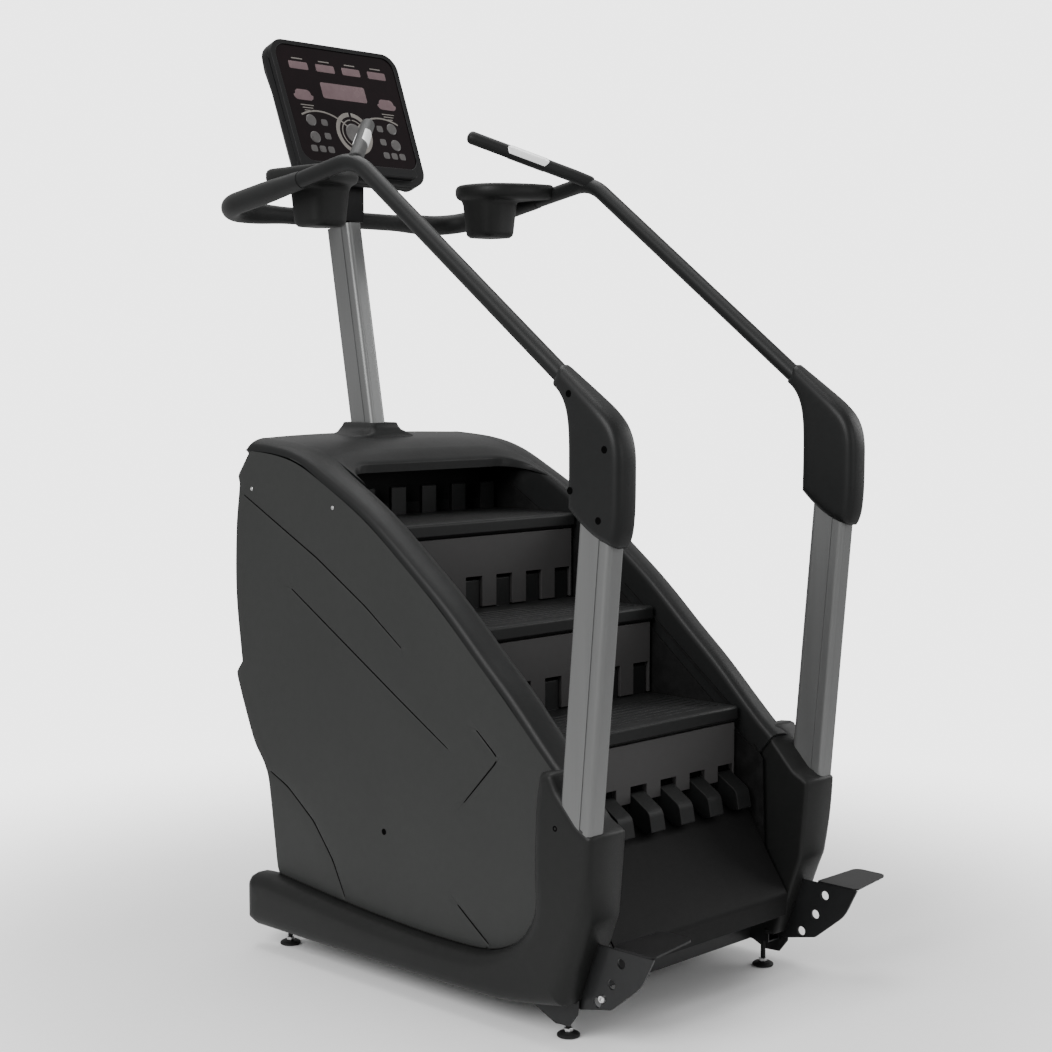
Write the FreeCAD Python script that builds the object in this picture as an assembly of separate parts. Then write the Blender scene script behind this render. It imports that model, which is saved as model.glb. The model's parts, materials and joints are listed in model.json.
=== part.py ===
"""Stair climber. Millimetres, +X to the user's right, +Y forwards, +Z up, floor at Z = 0."""
import FreeCAD, Part
import math
import os

V = FreeCAD.Vector
X_AXIS = V(1, 0, 0)
Z_AXIS = V(0, 0, 1)

# ---- driving dimensions -------------------------------------------------------------
STEP_RISE = 203.2            # one step, 8 inches
STEP_RUN = 250.0
STEP_HALF = 280.0            # half the width of a tread
STEP_COUNT = 3               # level treads in the well
FIRST_NOSE = (95.0, 998.0)   # nose of the top tread, (y, z)
COMB_PITCH = 98.0
COMB_TOOTH = 46.0
COMB_RISE = 68.0
LAST_RISER_LIFT = 39.0        # the lowest riser is shorter, so that it clears the kick panel
WALL_X = 290.0               # inner face of the well's walls
SKIN = 4.0                   # wall thickness of the covers
SHELL_X = 360.0              # outer face of the side panels
BEAM_X = 403.0               # outer face of the base covers
RAIL_X = 374.0               # plane of each handrail
RAIL_R = 18.5
POST_X = 378.0
POST_W = 46.0
POST_D = 86.0
POST_FOOT = (-524.0, 300.0)  # (y, z)
POST_HEAD = (-598.0, 1150.0)
ARM_R = 23.0
SPROCKET_R = 90.0
CHAIN_X = 300.0              # plane of each chain
FOOT_X = 322.0
FOOT_Y = (-451.0, 441.0)     # rear and front levelling feet
MAST_FOOT = (492.0, 1034.0)  # (y, z)
MAST_HEAD = (608.0, 1690.0)

SIDES = (("left", -1), ("right", 1))
GROOVE = (14.0, 24.0)        # groove across the profile's depth, towards its rear corner
# outlines of the covers, (y, z), with a corner radius where a third number is given
TOP_EDGE = [(524, 1158), (435, 1153), (349, 1136), (258, 1091), (170, 1047), (98, 1004),
            (28, 953), (-39, 902), (-107, 852), (-172, 796), (-236, 737), (-311, 675),
            (-373, 614), (-443, 550)]
FRONT_EDGE = [(574, 1093), (567, 1077), (581, 971), (584, 818), (565, 659), (588, 631),
              (563, 566), (522, 474), (486, 427), (469, 385), (442, 201), (437, 178)]
SEAM = [(433, 175), (198, 154), (63, 145), (-88, 139), (-225, 141), (-296, 154),
        (-370, 194), (-416, 257), (-426, 332), (-432, 477)]
CHAIN_DROP = 16.0            # chain line below the step axles
CHAIN_SPAN = 720.0           # distance between the two shafts
CHAIN_W = 12.0
CHAIN_T = 9.0
BRAKE = (330.0, 420.0)       # (y, z) of the brake's axle
PULLEY_X = 340.0            # plane of the belt and both pulleys
SHAFT_END = 350.0
FRAME_X = 320.0             # inner face of the side frames
PULLEY_R = 120.0
BRAKE_PULLEY_R = 30.0
FLYWHEEL_R = 130.0
SLEEVE = [(-515, 1334), (-466, 1307), (-498, 1285, 30), (-517, 1227, 30), (-518, 1075, 10),
          (-560, 1040, 60), (-640, 1005, 8), (-656, 1061, 30), (-656, 1197, 40), (-640, 1239, 60),
          (-540, 1352, 12)]
CREST = (131.0, 1792.0)     # (y, z) where the handrails turn forwards
ARM_TIP = (620.0, 1708.0)   # (y, z) of the crossbar behind the mast head
CUP = (270.0, 372.0)        # (x, y) of each cup
CONSOLE_FOOT = (522.0, 1790.0)   # (y, z) of the face's lower edge
CONSOLE_TILT = math.radians(21)  # top leans away from the user
CONSOLE_H = 360.0
FACE_OUT = V(0, -math.cos(CONSOLE_TILT), math.sin(CONSOLE_TILT))
KEYS = [(side * 128, up) for side in (-1, 1) for up in (152, 108)]
START_KEY = (0.0, 128.0)
FOOT_OUTLINE = [(-500, 84, 10), (-300, 56), (480, 50, 20), (511, 62, 14), (511, 172, 30), (433, 175)]
COLUMN_OUTLINE = [(-443, 550), (-475, 553, 12), (-491, 521, 30), (-547, 462, 30), (-585, 442, 10),
                  (-582, 400, 60), (-570, 270, 60), (-540, 190, 50)]
FRONT_BULGE = 60.0           # how far the front stands out at the middle
BRACKET = [(-484, 78), (-500, 70, 6), (-583, 88, 20), (-660, 150, 90), (-692, 213), (-532, 213, 8)]
BRACKET_X = {"left": -341.0, "right": 335.0}
BRACKET_HOLES = ((-608, 187), (-583, 140), (-546, 95))
SLOPE = math.atan2(STEP_RISE, STEP_RUN)
UP_Y = math.cos(SLOPE)
UP_Z = math.sin(SLOPE)


# ---- small tools --------------------------------------------------------------------
def box(x0, x1, y0, y1, z0, z1):
    """Box between two corners, given in any order."""
    low = V(min(x0, x1), min(y0, y1), min(z0, z1))
    return Part.makeBox(abs(x1 - x0), abs(y1 - y0), abs(z1 - z0), low)


def rod(start, end, radius):
    """Round bar between two points."""
    along = end.sub(start)
    return Part.makeCylinder(radius, along.Length, start, along)


def ring(start, end, outer, inner):
    """Round tube between two points."""
    return rod(start, end, outer).cut(rod(start, end, inner))


def outline(points, place):
    """Closed wire through (a, b) or (a, b, corner radius); place(a, b) gives the 3-D point."""
    corners = [(place(p[0], p[1]), p[2] if len(p) > 2 else 0.0) for p in points]
    count = len(corners)
    edges = []
    ends = []
    for i, (here, radius) in enumerate(corners):
        before = corners[i - 1][0].sub(here).normalize()
        after = corners[(i + 1) % count][0].sub(here).normalize()
        if radius <= 0:
            ends.append((here, here))
            continue
        half = before.getAngle(after) / 2
        back = radius / math.tan(half)
        start = here.add(before * back)
        finish = here.add(after * back)
        bisector = before.add(after).normalize()
        middle = here.add(bisector * (radius / math.sin(half) - radius))
        ends.append((start, finish))
        edges.append((i, Part.Arc(start, middle, finish).toShape()))
    arcs = dict(edges)
    wire = []
    for i in range(count):
        if i in arcs:
            wire.append(arcs[i])
        start = ends[i][1]
        finish = ends[(i + 1) % count][0]
        if start.distanceToPoint(finish) > 1e-6:
            wire.append(Part.LineSegment(start, finish).toShape())
    return Part.Wire(wire)


def slab(points, x0, x1):
    """Prism of a (y, z) outline between two x planes."""
    low = min(x0, x1)
    wire = outline(points, lambda a, b: V(low, a, b))
    return Part.Face(wire).extrude(V(abs(x1 - x0), 0, 0))


def plan(points, z0, z1):
    """Prism of an (x, y) outline between two heights."""
    wire = outline(points, lambda a, b: V(a, b, z0))
    return Part.Face(wire).extrude(V(0, 0, z1 - z0))


def bent_bar(points, bends, radius, bore=0.0):
    """Round bar or tube along straight runs joined by tangent arcs."""
    edges = []
    last = points[0]
    for i in range(1, len(points) - 1):
        before = points[i - 1].sub(points[i]).normalize()
        after = points[i + 1].sub(points[i]).normalize()
        half = before.getAngle(after) / 2
        back = bends[i - 1] / math.tan(half)
        start = points[i].add(before * back)
        finish = points[i].add(after * back)
        bisector = before.add(after).normalize()
        middle = points[i].add(bisector * (bends[i - 1] / math.sin(half) - bends[i - 1]))
        edges.append(Part.LineSegment(last, start).toShape())
        edges.append(Part.Arc(start, middle, finish).toShape())
        last = finish
    edges.append(Part.LineSegment(last, points[-1]).toShape())
    path = Part.Wire(edges)
    along = points[1].sub(points[0])
    section = Part.Wire(Part.makeCircle(radius, points[0], along))
    bar = path.makePipeShell([section], True, False)
    if bore > 0:
        inner = Part.Wire(Part.makeCircle(bore, points[0], along))
        bar = bar.cut(path.makePipeShell([inner], True, False))
    return bar


def extrusion(foot, head, x, width, depth, wall, corner):
    """Hollow rounded-rectangle profile between two (y, z) points, with a groove each side."""
    start = V(x, foot[0], foot[1])
    end = V(x, head[0], head[1])
    along = end.sub(start)
    across = X_AXIS.cross(along).normalize()

    def ringed(half_w, half_d, radius):
        pts = [(-half_w, -half_d, radius), (half_w, -half_d, radius),
               (half_w, half_d, radius), (-half_w, half_d, radius)]
        return outline(pts, lambda a, b: start.add(X_AXIS * a).add(across * b))

    solid = Part.Face(ringed(width / 2, depth / 2, corner)).extrude(along)
    hollow = Part.Face(ringed(width / 2 - wall, depth / 2 - wall, corner - wall)).extrude(along)
    profile = solid.cut(hollow)
    for flank in (-1, 1):
        deep = width / 2 - 1.6
        groove = [(flank * deep, GROOVE[0]), (flank * (deep + 6), GROOVE[0]),
                  (flank * (deep + 6), GROOVE[1]), (flank * deep, GROOVE[1])]
        wire = outline(groove, lambda a, b: start.add(X_AXIS * a).add(across * b))
        profile = profile.cut(Part.Face(wire).extrude(along))
    return profile


def save(name, shape):
    """Write one node."""
    shape.exportStep(os.path.join("parts", name + ".step"))


# ---- outlines shared by several covers ------------------------------------------------
# top edge of the side panels, front to rear
# front edge of the side panels, top to bottom
# joint between a side panel and its base cover, front to rear, then up the column


def nose(k):
    """(y, z) of a tread's nose; 0 is the top tread."""
    return FIRST_NOSE[0] - k * STEP_RUN, FIRST_NOSE[1] - k * STEP_RISE


def axle(k):
    """(y, z) of the axle under a tread's nose."""
    y, z = nose(k)
    return y + 28, z - 24


def comb_slots():
    """Centres in x of the comb's slots."""
    count = 6
    return [(i - (count - 1) / 2) * COMB_PITCH for i in range(count)]


# ---- the moving stair -----------------------------------------------------------------
def tread(k):
    """Deck with a rounded nose, side cheeks, and comb fingers rising at its rear edge."""
    y, z = nose(k)
    rear = y + STEP_RUN + 22
    profile = [(y, z, 7), (rear, z), (rear, z - 14), (y + 52, z - 14), (y + 46, z - 36, 5),
               (y + 10, z - 36, 5), (y, z - 28, 3)]
    body = slab(profile, -STEP_HALF, STEP_HALF)
    hand = [(rear - 10, z - 1), (rear, z - 1), (rear, z + COMB_RISE - 8, 6),
            (rear - 4, z + COMB_RISE, 3), (rear - 10, z + COMB_RISE - 4, 2)]
    for x in comb_slots():
        body = body.fuse(slab(hand, x - COMB_TOOTH / 2, x + COMB_TOOTH / 2))
    for i in range(1, 9):
        groove_y = y + 14 + i * 22
        body = body.cut(box(-STEP_HALF + 18, STEP_HALF - 18, groove_y, groove_y + 6, z - 1.5, z + 1))
    ay, az = axle(k)
    return body.cut(rod(V(-STEP_HALF - 1, ay, az), V(STEP_HALF + 1, ay, az), 7.0))


def riser(k):
    """Upright plate hung from a nose, with comb slots along its bottom edge."""
    y, z = nose(k)
    top = z - 37
    slot_top = z - STEP_RISE + COMB_RISE + 6
    bottom = z - STEP_RISE + (LAST_RISER_LIFT if k == STEP_COUNT - 1 else 3)
    body = box(-STEP_HALF + 3, STEP_HALF - 3, y + 6, y + 18, bottom, top)
    for x in comb_slots():
        half = COMB_TOOTH / 2 + 3
        cut = slab([(y, bottom - 1), (y + 30, bottom - 1), (y + 30, slot_top), (y, slot_top)], x - half, x + half)
        body = body.cut(cut)
    return body


def stair_run():
    """Treads, risers, axles and rollers that travel together down the slope."""
    for k in range(STEP_COUNT):
        save("tread_%d" % (k + 1), tread(k))
    save("risers", Part.makeCompound([riser(k) for k in range(STEP_COUNT)]))
    axles = [rod(V(-CHAIN_X + 14, *axle(k)), V(CHAIN_X - 14, *axle(k)), 7.0)
             for k in range(STEP_COUNT)]
    save("step_axles", Part.makeCompound(axles))
    turned_step()


def turned_step():
    """The step that has tipped over the lower sprockets, with its hooked comb fingers."""
    deck = slab([(-386, 388), (-376, 386), (-430, 190), (-440, 193)], -STEP_HALF, STEP_HALF)
    hook = [(-386, 380), (-386, 452, 6), (-448, 414, 25), (-456, 372, 4), (-430, 370), (-392, 396)]
    for x in comb_slots():
        deck = deck.fuse(slab(hook, x - COMB_TOOTH / 2, x + COMB_TOOTH / 2))
    save("tread_4_turned", deck)


# ---- chain drive ------------------------------------------------------------------------
def drive_centres():
    """(y, z) of the upper and lower shafts; the chain's upper strand passes under the axles."""
    y0, z0 = axle(0)
    off = SPROCKET_R + CHAIN_DROP
    upper = (y0 + 60 * UP_Y + off * UP_Z, z0 + 60 * UP_Z - off * UP_Y)
    lower = (upper[0] - CHAIN_SPAN * UP_Y, upper[1] - CHAIN_SPAN * UP_Z)
    return upper, lower


def stadium(a, b, radius, x0, x1):
    """Plate shaped like a chain's loop: two discs and the band between them."""
    body = rod(V(x0, *a), V(x1, *a), radius).fuse(rod(V(x0, *b), V(x1, *b), radius))
    ny = -UP_Z * radius
    nz = UP_Y * radius
    band = [(a[0] + ny, a[1] + nz), (a[0] - ny, a[1] - nz), (b[0] - ny, b[1] - nz), (b[0] + ny, b[1] + nz)]
    return body.fuse(slab(band, x0, x1)).removeSplitter()


def chains():
    """Closed chain loops, one each side."""
    upper, lower = drive_centres()
    loops = []
    for _, side in SIDES:
        x0 = side * CHAIN_X - CHAIN_W / 2
        x1 = side * CHAIN_X + CHAIN_W / 2
        loop = stadium(upper, lower, SPROCKET_R, x0, x1)
        hole = stadium(upper, lower, SPROCKET_R - CHAIN_T, x0 - 1, x1 + 1)
        loops.append(loop.cut(hole))
    save("chains", Part.makeCompound(loops))


def toothed_wheel(x0, x1, centre, radius, teeth, bore):
    """Sprocket with round gullets and lightening holes."""
    wheel = rod(V(x0, *centre), V(x1, *centre), radius)
    for i in range(teeth):
        angle = 2 * math.pi * i / teeth
        y = centre[0] + (radius + 1.5) * math.cos(angle)
        z = centre[1] + (radius + 1.5) * math.sin(angle)
        wheel = wheel.cut(rod(V(x0 - 1, y, z), V(x1 + 1, y, z), 4.5))
    for i in range(6):
        angle = 2 * math.pi * (i + 0.5) / 6
        y = centre[0] + radius * 0.6 * math.cos(angle)
        z = centre[1] + radius * 0.6 * math.sin(angle)
        wheel = wheel.cut(rod(V(x0 - 1, y, z), V(x1 + 1, y, z), radius * 0.16))
    return wheel.cut(rod(V(x0 - 1, *centre), V(x1 + 1, *centre), bore))


def shafts():
    """Upper and lower shafts with their sprockets and bearings."""
    blocks = []
    for label, centre in zip(("upper", "lower"), drive_centres()):
        save(label + "_shaft", rod(V(-SHAFT_END, *centre), V(SHAFT_END, *centre), 12.5))
        wheels = [toothed_wheel(side * CHAIN_X - 4, side * CHAIN_X + 4, centre,
                                SPROCKET_R - CHAIN_T - 0.4, 32, 12.5) for _, side in SIDES]
        save(label + "_sprockets", Part.makeCompound(wheels))
        for _, side in SIDES:
            block = box(side * 308, side * (FRAME_X - 0.3), centre[0] - 30, centre[0] + 30,
                        centre[1] - 24, centre[1] + 24)
            hole = rod(V(side * 307, *centre), V(side * FRAME_X, *centre), 12.55)
            blocks.append(block.cut(hole))
    save("shaft_bearings", Part.makeCompound(blocks))


def brake():
    """Belt drive from the upper shaft to a braked flywheel."""
    upper, _ = drive_centres()
    pulley = rod(V(PULLEY_X - 8, *upper), V(PULLEY_X + 8, *upper), PULLEY_R)
    pulley = pulley.cut(rod(V(PULLEY_X - 9, *upper), V(PULLEY_X + 9, *upper), 12.5))
    for i in range(5):
        angle = 2 * math.pi * i / 5
        y = upper[0] + 70 * math.cos(angle)
        z = upper[1] + 70 * math.sin(angle)
        pulley = pulley.cut(rod(V(PULLEY_X - 9, y, z), V(PULLEY_X + 9, y, z), 24))
    save("drive_pulley", pulley)
    save("belt", belt_loop(upper, PULLEY_R + 0.4, BRAKE, BRAKE_PULLEY_R + 0.4, 3.5))
    small = rod(V(PULLEY_X - 8, *BRAKE), V(PULLEY_X + 8, *BRAKE), BRAKE_PULLEY_R)
    save("brake_pulley", small.cut(rod(V(PULLEY_X - 9, *BRAKE), V(PULLEY_X + 9, *BRAKE), 10)))
    disc = rod(V(200, *BRAKE), V(226, *BRAKE), FLYWHEEL_R)
    disc = disc.cut(rod(V(199, *BRAKE), V(218, *BRAKE), FLYWHEEL_R - 22))
    save("flywheel", disc.fuse(rod(V(PULLEY_X + 12, *BRAKE), V(60, *BRAKE), 10)))
    coil = rod(V(96, *BRAKE), V(190, *BRAKE), 88).cut(rod(V(95, *BRAKE), V(191, *BRAKE), 10.05))
    save("brake_alternator", coil)
    save("controller_box", box(-240, -90, BRAKE[0] - 60, BRAKE[0] + 60, BRAKE[1] - 91.7, BRAKE[1] - 20))


def belt_loop(a, ra, b, rb, thick):
    """Open belt round two pulleys of different radii."""
    x0 = PULLEY_X - 7
    x1 = PULLEY_X + 7

    def wrap(extra, low, high):
        body = rod(V(low, *a), V(high, *a), ra + extra).fuse(rod(V(low, *b), V(high, *b), rb + extra))
        dy = b[0] - a[0]
        dz = b[1] - a[1]
        dist = math.hypot(dy, dz)
        lean = math.acos((ra - rb) / dist)
        heading = math.atan2(dz, dy)
        pts = []
        for centre, radius, sign in ((a, ra, 1), (b, rb, 1), (b, rb, -1), (a, ra, -1)):
            angle = heading + sign * lean
            pts.append((centre[0] + (radius + extra) * math.cos(angle),
                        centre[1] + (radius + extra) * math.sin(angle)))
        return body.fuse(slab(pts, low, high)).removeSplitter()

    return wrap(thick, x0, x1).cut(wrap(0, x0 - 1, x1 + 1))


# ---- frame --------------------------------------------------------------------------------
def tube_box(x0, x1, y0, y1, z0, z1, hollow_axis, wall=3.0):
    """Rectangular tube along one axis."""
    outer = box(x0, x1, y0, y1, z0, z1)
    grow = {"x": (60, -wall, -wall), "y": (-wall, 60, -wall), "z": (-wall, -wall, 60)}[hollow_axis]
    inner = box(min(x0, x1) - grow[0], max(x0, x1) + grow[0], min(y0, y1) - grow[1],
                max(y0, y1) + grow[1], z0 - grow[2], z1 + grow[2])
    return outer.cut(inner)


def base_frame():
    """Two long tubes and three cross tubes, welded."""
    frame = None
    for _, side in SIDES:
        rail = tube_box(side * 302, side * 342, -480, 475, 62, 112, "y")
        frame = rail if frame is None else frame.fuse(rail)
    for y in (-430, 20, 415):
        frame = frame.fuse(tube_box(-302, 302, y, y + 50, 62, 112, "x"))
    for _, side in SIDES:
        for y in FOOT_Y:
            frame = frame.cut(rod(V(side * FOOT_X, y, 60), V(side * FOOT_X, y, 120), 6.1))
    save("base_frame", frame)


def uprights():
    """One side frame each side: rear stub, front upright and the sloping chain track."""
    upper, lower = drive_centres()
    plates = []
    for _, side in SIDES:
        x0 = side * FRAME_X
        x1 = side * (FRAME_X + 6)
        plate = slab([(lower[0] - 60, lower[1] + 40, 20), (upper[0] - 40, upper[1] + 90, 20),
                      (upper[0] + 120, upper[1] + 90, 20), (upper[0] + 150, 112.3), (upper[0] + 60, 112.3),
                      (upper[0] + 20, upper[1] - 180, 40), (lower[0] + 120, lower[1] - 60, 30),
                      (lower[0] + 80, 112.3), (lower[0] - 60, 112.3)], x0, x1)
        for centre in (upper, lower):
            plate = plate.cut(rod(V(x0 - 7, *centre), V(x0 + 13, *centre), 14))
        plate = plate.cut(rod(V(x0 - 7, *BRAKE), V(x0 + 13, *BRAKE), 14))
        plates.append(plate)
    save("side_frames", Part.makeCompound(plates + [mast_bracket(), brake_shelf()]))


def posts():
    """Aluminium posts of the handrails."""
    for name, side in SIDES:
        save("post_" + name, extrusion(POST_FOOT, POST_HEAD, side * POST_X, POST_W, POST_D, 3.0, 12.0))


def post_room(side, gap=0.3):
    """Space one post takes, with a little room round it."""
    start = V(side * POST_X, *POST_FOOT)
    along = V(side * POST_X, *POST_HEAD).sub(start)
    across = X_AXIS.cross(along).normalize()
    half_w = POST_W / 2 + gap
    half_d = POST_D / 2 + gap
    pts = [(-half_w, -half_d, 12), (half_w, -half_d, 12), (half_w, half_d, 12), (-half_w, half_d, 12)]
    wire = outline(pts, lambda a, b: start.add(X_AXIS * a).add(across * b))
    return Part.Face(wire).extrude(along)


def mast():
    """Aluminium column that carries the console."""
    save("mast", extrusion(MAST_FOOT, MAST_HEAD, 0, POST_W, POST_D, 3.0, 12.0))


def mast_bracket():
    """Cross beam between the side frames, with the seat of the mast."""
    return box(-19, 19, 430, 560, 1020, 1026).fuse(box(-319.7, 319.7, 430, 470, 980, 1020))


def brake_shelf():
    """Shelf between the side frames that carries the brake."""
    y, z = BRAKE
    shelf = box(-319.7, 319.7, y - 110, y + 110, z - 100, z - 92)
    gap = box(196, 240, y - 111, y + 111, z - 101, z - 91)
    foot = box(96, 190, y - 50, y + 50, z - 92, z - 60)
    return shelf.cut(gap).fuse(foot).cut(rod(V(90, y, z), V(195, y, z), 88.3))


# ---- handrails and arms -------------------------------------------------------------------


def handrails():
    """Bent steel rails from the sleeves up to the crest and forward into the arms."""
    for name, side in SIDES:
        x = side * RAIL_X
        save("handrail_" + name, bent_bar(rail_path(side), [110], RAIL_R, RAIL_R - 2.5))
        sleeve = slab(SLEEVE, x + side * 3 - 31, x + side * 3 + 31)
        sleeve = sleeve.cut(post_room(side)).cut(bent_bar(rail_path(side), [110], RAIL_R + 0.2))
        save("sleeve_" + name, sleeve)


def rail_path(side):
    """Corner points of one handrail."""
    x = side * RAIL_X
    return [V(x, -505, 1312), V(x, *CREST), V(x, 314, 1757)]


def arm_path(side):
    """Corner points of one arm, from the handrail's front end round to the neck."""
    x = side * RAIL_X
    return [V(x, 314.3, 1757), V(x, *ARM_TIP), V(side * 42.3, *ARM_TIP)]


def arms():
    """Padded arm each side, and the crossbar that joins them at the mast."""
    plates = []
    for name, side in SIDES:
        save("arm_" + name, bent_bar(arm_path(side), [80], ARM_R))
        tip = V(side * 157, 335, 1900)
        root = V(side * 350, 150, 1802)
        along = tip.sub(root).normalize()
        grip = rod(root, tip.sub(along * 16), 16)
        grip = grip.fuse(Part.makeSphere(16, tip.sub(along * 16)))
        save("grip_" + name, grip.cut(bent_bar(rail_path(side), [110], RAIL_R + 0.2)))
        middle = root.add(along * 130)
        plates.append(ring(middle.sub(along * 32), middle.add(along * 32), 17.2, 16.02))
    save("pulse_plates", Part.makeCompound(plates))


def trays():
    """Tray with a cup hung below it, inside each arm."""
    for name, side in SIDES:
        flange = plan([(side * 362, 262, 10), (side * 362, 490, 20), (side * 215, 490, 45),
                       (side * 195, 370, 40), (side * 260, 260, 30)], 1752, 1792)
        dish = plan([(side * 337, 262, 14), (side * 337, 480, 14), (side * 225, 480, 40),
                     (side * 206, 370, 32), (side * 266, 270, 22)], 1757, 1793)
        cup = V(side * CUP[0], CUP[1], 0)
        body = flange.cut(dish)
        outer = Part.makeCone(48, 56, 92, cup.add(Z_AXIS * 1662), Z_AXIS)
        inner = Part.makeCone(44, 52, 90, cup.add(Z_AXIS * 1666), Z_AXIS)
        holder = body.fuse(outer).cut(inner).cut(rod(cup.add(Z_AXIS * 1740), cup.add(Z_AXIS * 1800), 50))
        holder = holder.cut(bent_bar(arm_path(side), [80], ARM_R + 0.3))
        holder = holder.cut(bent_bar(rail_path(side), [110], RAIL_R + 0.3))
        holder = max(holder.Solids, key=lambda solid: solid.Volume)
        save("cup_tray_" + name, holder)


# ---- console ---------------------------------------------------------------------------------


def face_point(x, up, out):
    """Point on the console: x across, up along the face, out towards the user."""
    y = CONSOLE_FOOT[0] + up * math.sin(CONSOLE_TILT) - out * math.cos(CONSOLE_TILT)
    z = CONSOLE_FOOT[1] + up * math.cos(CONSOLE_TILT) + out * math.sin(CONSOLE_TILT)
    return V(x, y, z)


def panel(half_low, half_high, low, high, corner, out0, out1):
    """Rounded plate on the console's face, between two depths."""
    pts = [(-half_low, low, corner), (half_low, low, corner), (half_high, high, corner), (-half_high, high, corner)]
    wire = outline(pts, lambda a, b: face_point(a, b, out0))
    return Part.Face(wire).extrude(FACE_OUT * (out1 - out0))


def round_key(x, up, radius, out0, out1):
    """Round key on the face."""
    return Part.makeCylinder(radius, out1 - out0, face_point(x, up, out0), FACE_OUT)


def console():
    """Rear shell, bezel, glass, keys, ledge and neck."""
    shell = panel(196, 202, 0, CONSOLE_H, 44, -50, -8)
    shell = shell.cut(panel(192, 198, 4, CONSOLE_H - 4, 40, -46, -7))
    save("console_shell", shell)
    bezel = panel(196, 202, 0, CONSOLE_H, 44, -7.7, 6)
    window = panel(182, 188, 44, CONSOLE_H - 12, 34, -9, 7)
    ledge = panel(150, 150, 12, 34, 8, 5.9, 26).cut(panel(146, 146, 18, 40, 6, 10, 22))
    save("console_bezel", bezel.cut(window).fuse(ledge))
    glass = panel(181.7, 187.7, 44.3, CONSOLE_H - 12.3, 33.7, -2, 3)
    for x, up in KEYS:
        glass = glass.cut(round_key(x, up, 15.4, -3, 4))
    glass = glass.cut(round_key(START_KEY[0], START_KEY[1], 26.4, -3, 4))
    save("console_glass", glass)
    for i, (x, up) in enumerate(KEYS):
        save("key_%d" % (i + 1), round_key(x, up, 15.0, -5, 4.5))
    save("start_key", round_key(START_KEY[0], START_KEY[1], 26.0, -5, 5))
    neck = box(-42, 42, 580, 660, 1700, 1800)
    neck = neck.cut(box(-38, 38, 584, 656, 1699, 1801))
    save("console_neck", neck)


# ---- covers ----------------------------------------------------------------------------------
def side_panels():
    """Flat panel each side."""
    outline_pts = TOP_EDGE[::-1] + FRONT_EDGE + SEAM
    for name, side in SIDES:
        save("side_panel_" + name, slab(outline_pts, side * (SHELL_X - SKIN), side * SHELL_X))


def fairings():
    """Sloping fairing along the top of each side panel."""
    lower = [(y, z) for y, z in TOP_EDGE]
    for name, side in SIDES:
        outer = slab([(524, 1158), (524, 1186), (430, 1182, 30), (340, 1160, 60), (160, 1075, 200),
                      (-30, 935, 300), (-260, 770, 300), (-543, 505), (-520, 478), (-443, 550)]
                     + lower[::-1][1:-1], side * WALL_X, side * SHELL_X)
        hollow = slab([(530, 1100), (530, 1182), (430, 1178, 30), (342, 1156, 60), (162, 1071, 200),
                       (-27, 931, 300), (-257, 766, 300), (-539, 505), (-520, 470), (-330, 600)],
                      side * (WALL_X + SKIN), side * (SHELL_X - SKIN))
        fairing = outer.cut(hollow).cut(base_solid(side)).cut(post_room(side))
        save("fairing_" + name, max(fairing.Solids, key=lambda solid: solid.Volume))


def well_walls():
    """Dark wall each side of the stair well, with the slot the step axles run in."""
    walls = []
    for _, side in SIDES:
        pts = [(420, 1110), (300, 1050), (-60, 840), (-380, 590), (-470, 480), (-480, 200),
               (-380, 120), (420, 120)]
        wall = slab(pts, side * (WALL_X - SKIN), side * (WALL_X - 0.3))
        upper, lower = drive_centres()
        y0, z0 = axle(0)
        y2, z2 = axle(STEP_COUNT - 1)
        run = 90
        slot = slab([(y0 + run * UP_Y - 8, z0 + run * UP_Z + 8), (y0 + run * UP_Y + 8, z0 + run * UP_Z - 8),
                     (y2 - run * UP_Y + 8, z2 - run * UP_Z - 8), (y2 - run * UP_Y - 8, z2 - run * UP_Z + 8)],
                    side * (WALL_X - SKIN - 1), side * (WALL_X + 1))
        wall = wall.cut(slot)
        for centre in (upper, lower, BRAKE):
            wall = wall.cut(rod(V(side * (WALL_X - SKIN - 1), *centre), V(side * (WALL_X + 1), *centre), 14))
        wall = wall.cut(box(side * 285, side * 291, BRAKE[0] - 111, BRAKE[0] + 111, BRAKE[1] - 101, BRAKE[1] - 91))
        walls.append(wall)
    save("well_walls", Part.makeCompound(walls))


def base_solid(side):
    """Outer shape of one base cover: the long foot and the rear column."""
    return slab(FOOT_OUTLINE + SEAM[1:] + COLUMN_OUTLINE, side * 297, side * BEAM_X)


def base_covers():
    """L-shaped cover each side, open towards the machine's middle where the frame passes."""
    hollow = [(-480, 92), (-300, 60), (470, 54), (507, 66), (507, 168), (433, 171),
              (198, 150), (-88, 135), (-225, 137), (-300, 150), (-376, 192), (-422, 257),
              (-432, 332), (-438, 540), (-474, 546), (-500, 504), (-560, 454), (-576, 430),
              (-566, 270), (-536, 192)]
    frame_room = [(433, 113), (-390, 113), (-390, 240), (433, 240)]
    for name, side in SIDES:
        cover = base_solid(side).cut(slab(hollow, side * 301, side * (BEAM_X - SKIN)))
        cover = cover.cut(slab(frame_room, side * 296, side * 350))
        cover = cover.cut(post_room(side)).cut(box(side * 296, side * 342.3, -480.3, 475.3, 61.7, 112.3))
        for y in FOOT_Y:
            cover = cover.cut(rod(V(side * FOOT_X, y, 40), V(side * FOOT_X, y, 120), 8))
        bracket_x = BRACKET_X[name]
        cover = cover.cut(box(bracket_x - 2, bracket_x + 8, -700, -480, 60, 216))
        save("base_cover_" + name, max(cover.Solids, key=lambda solid: solid.Volume))


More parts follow.
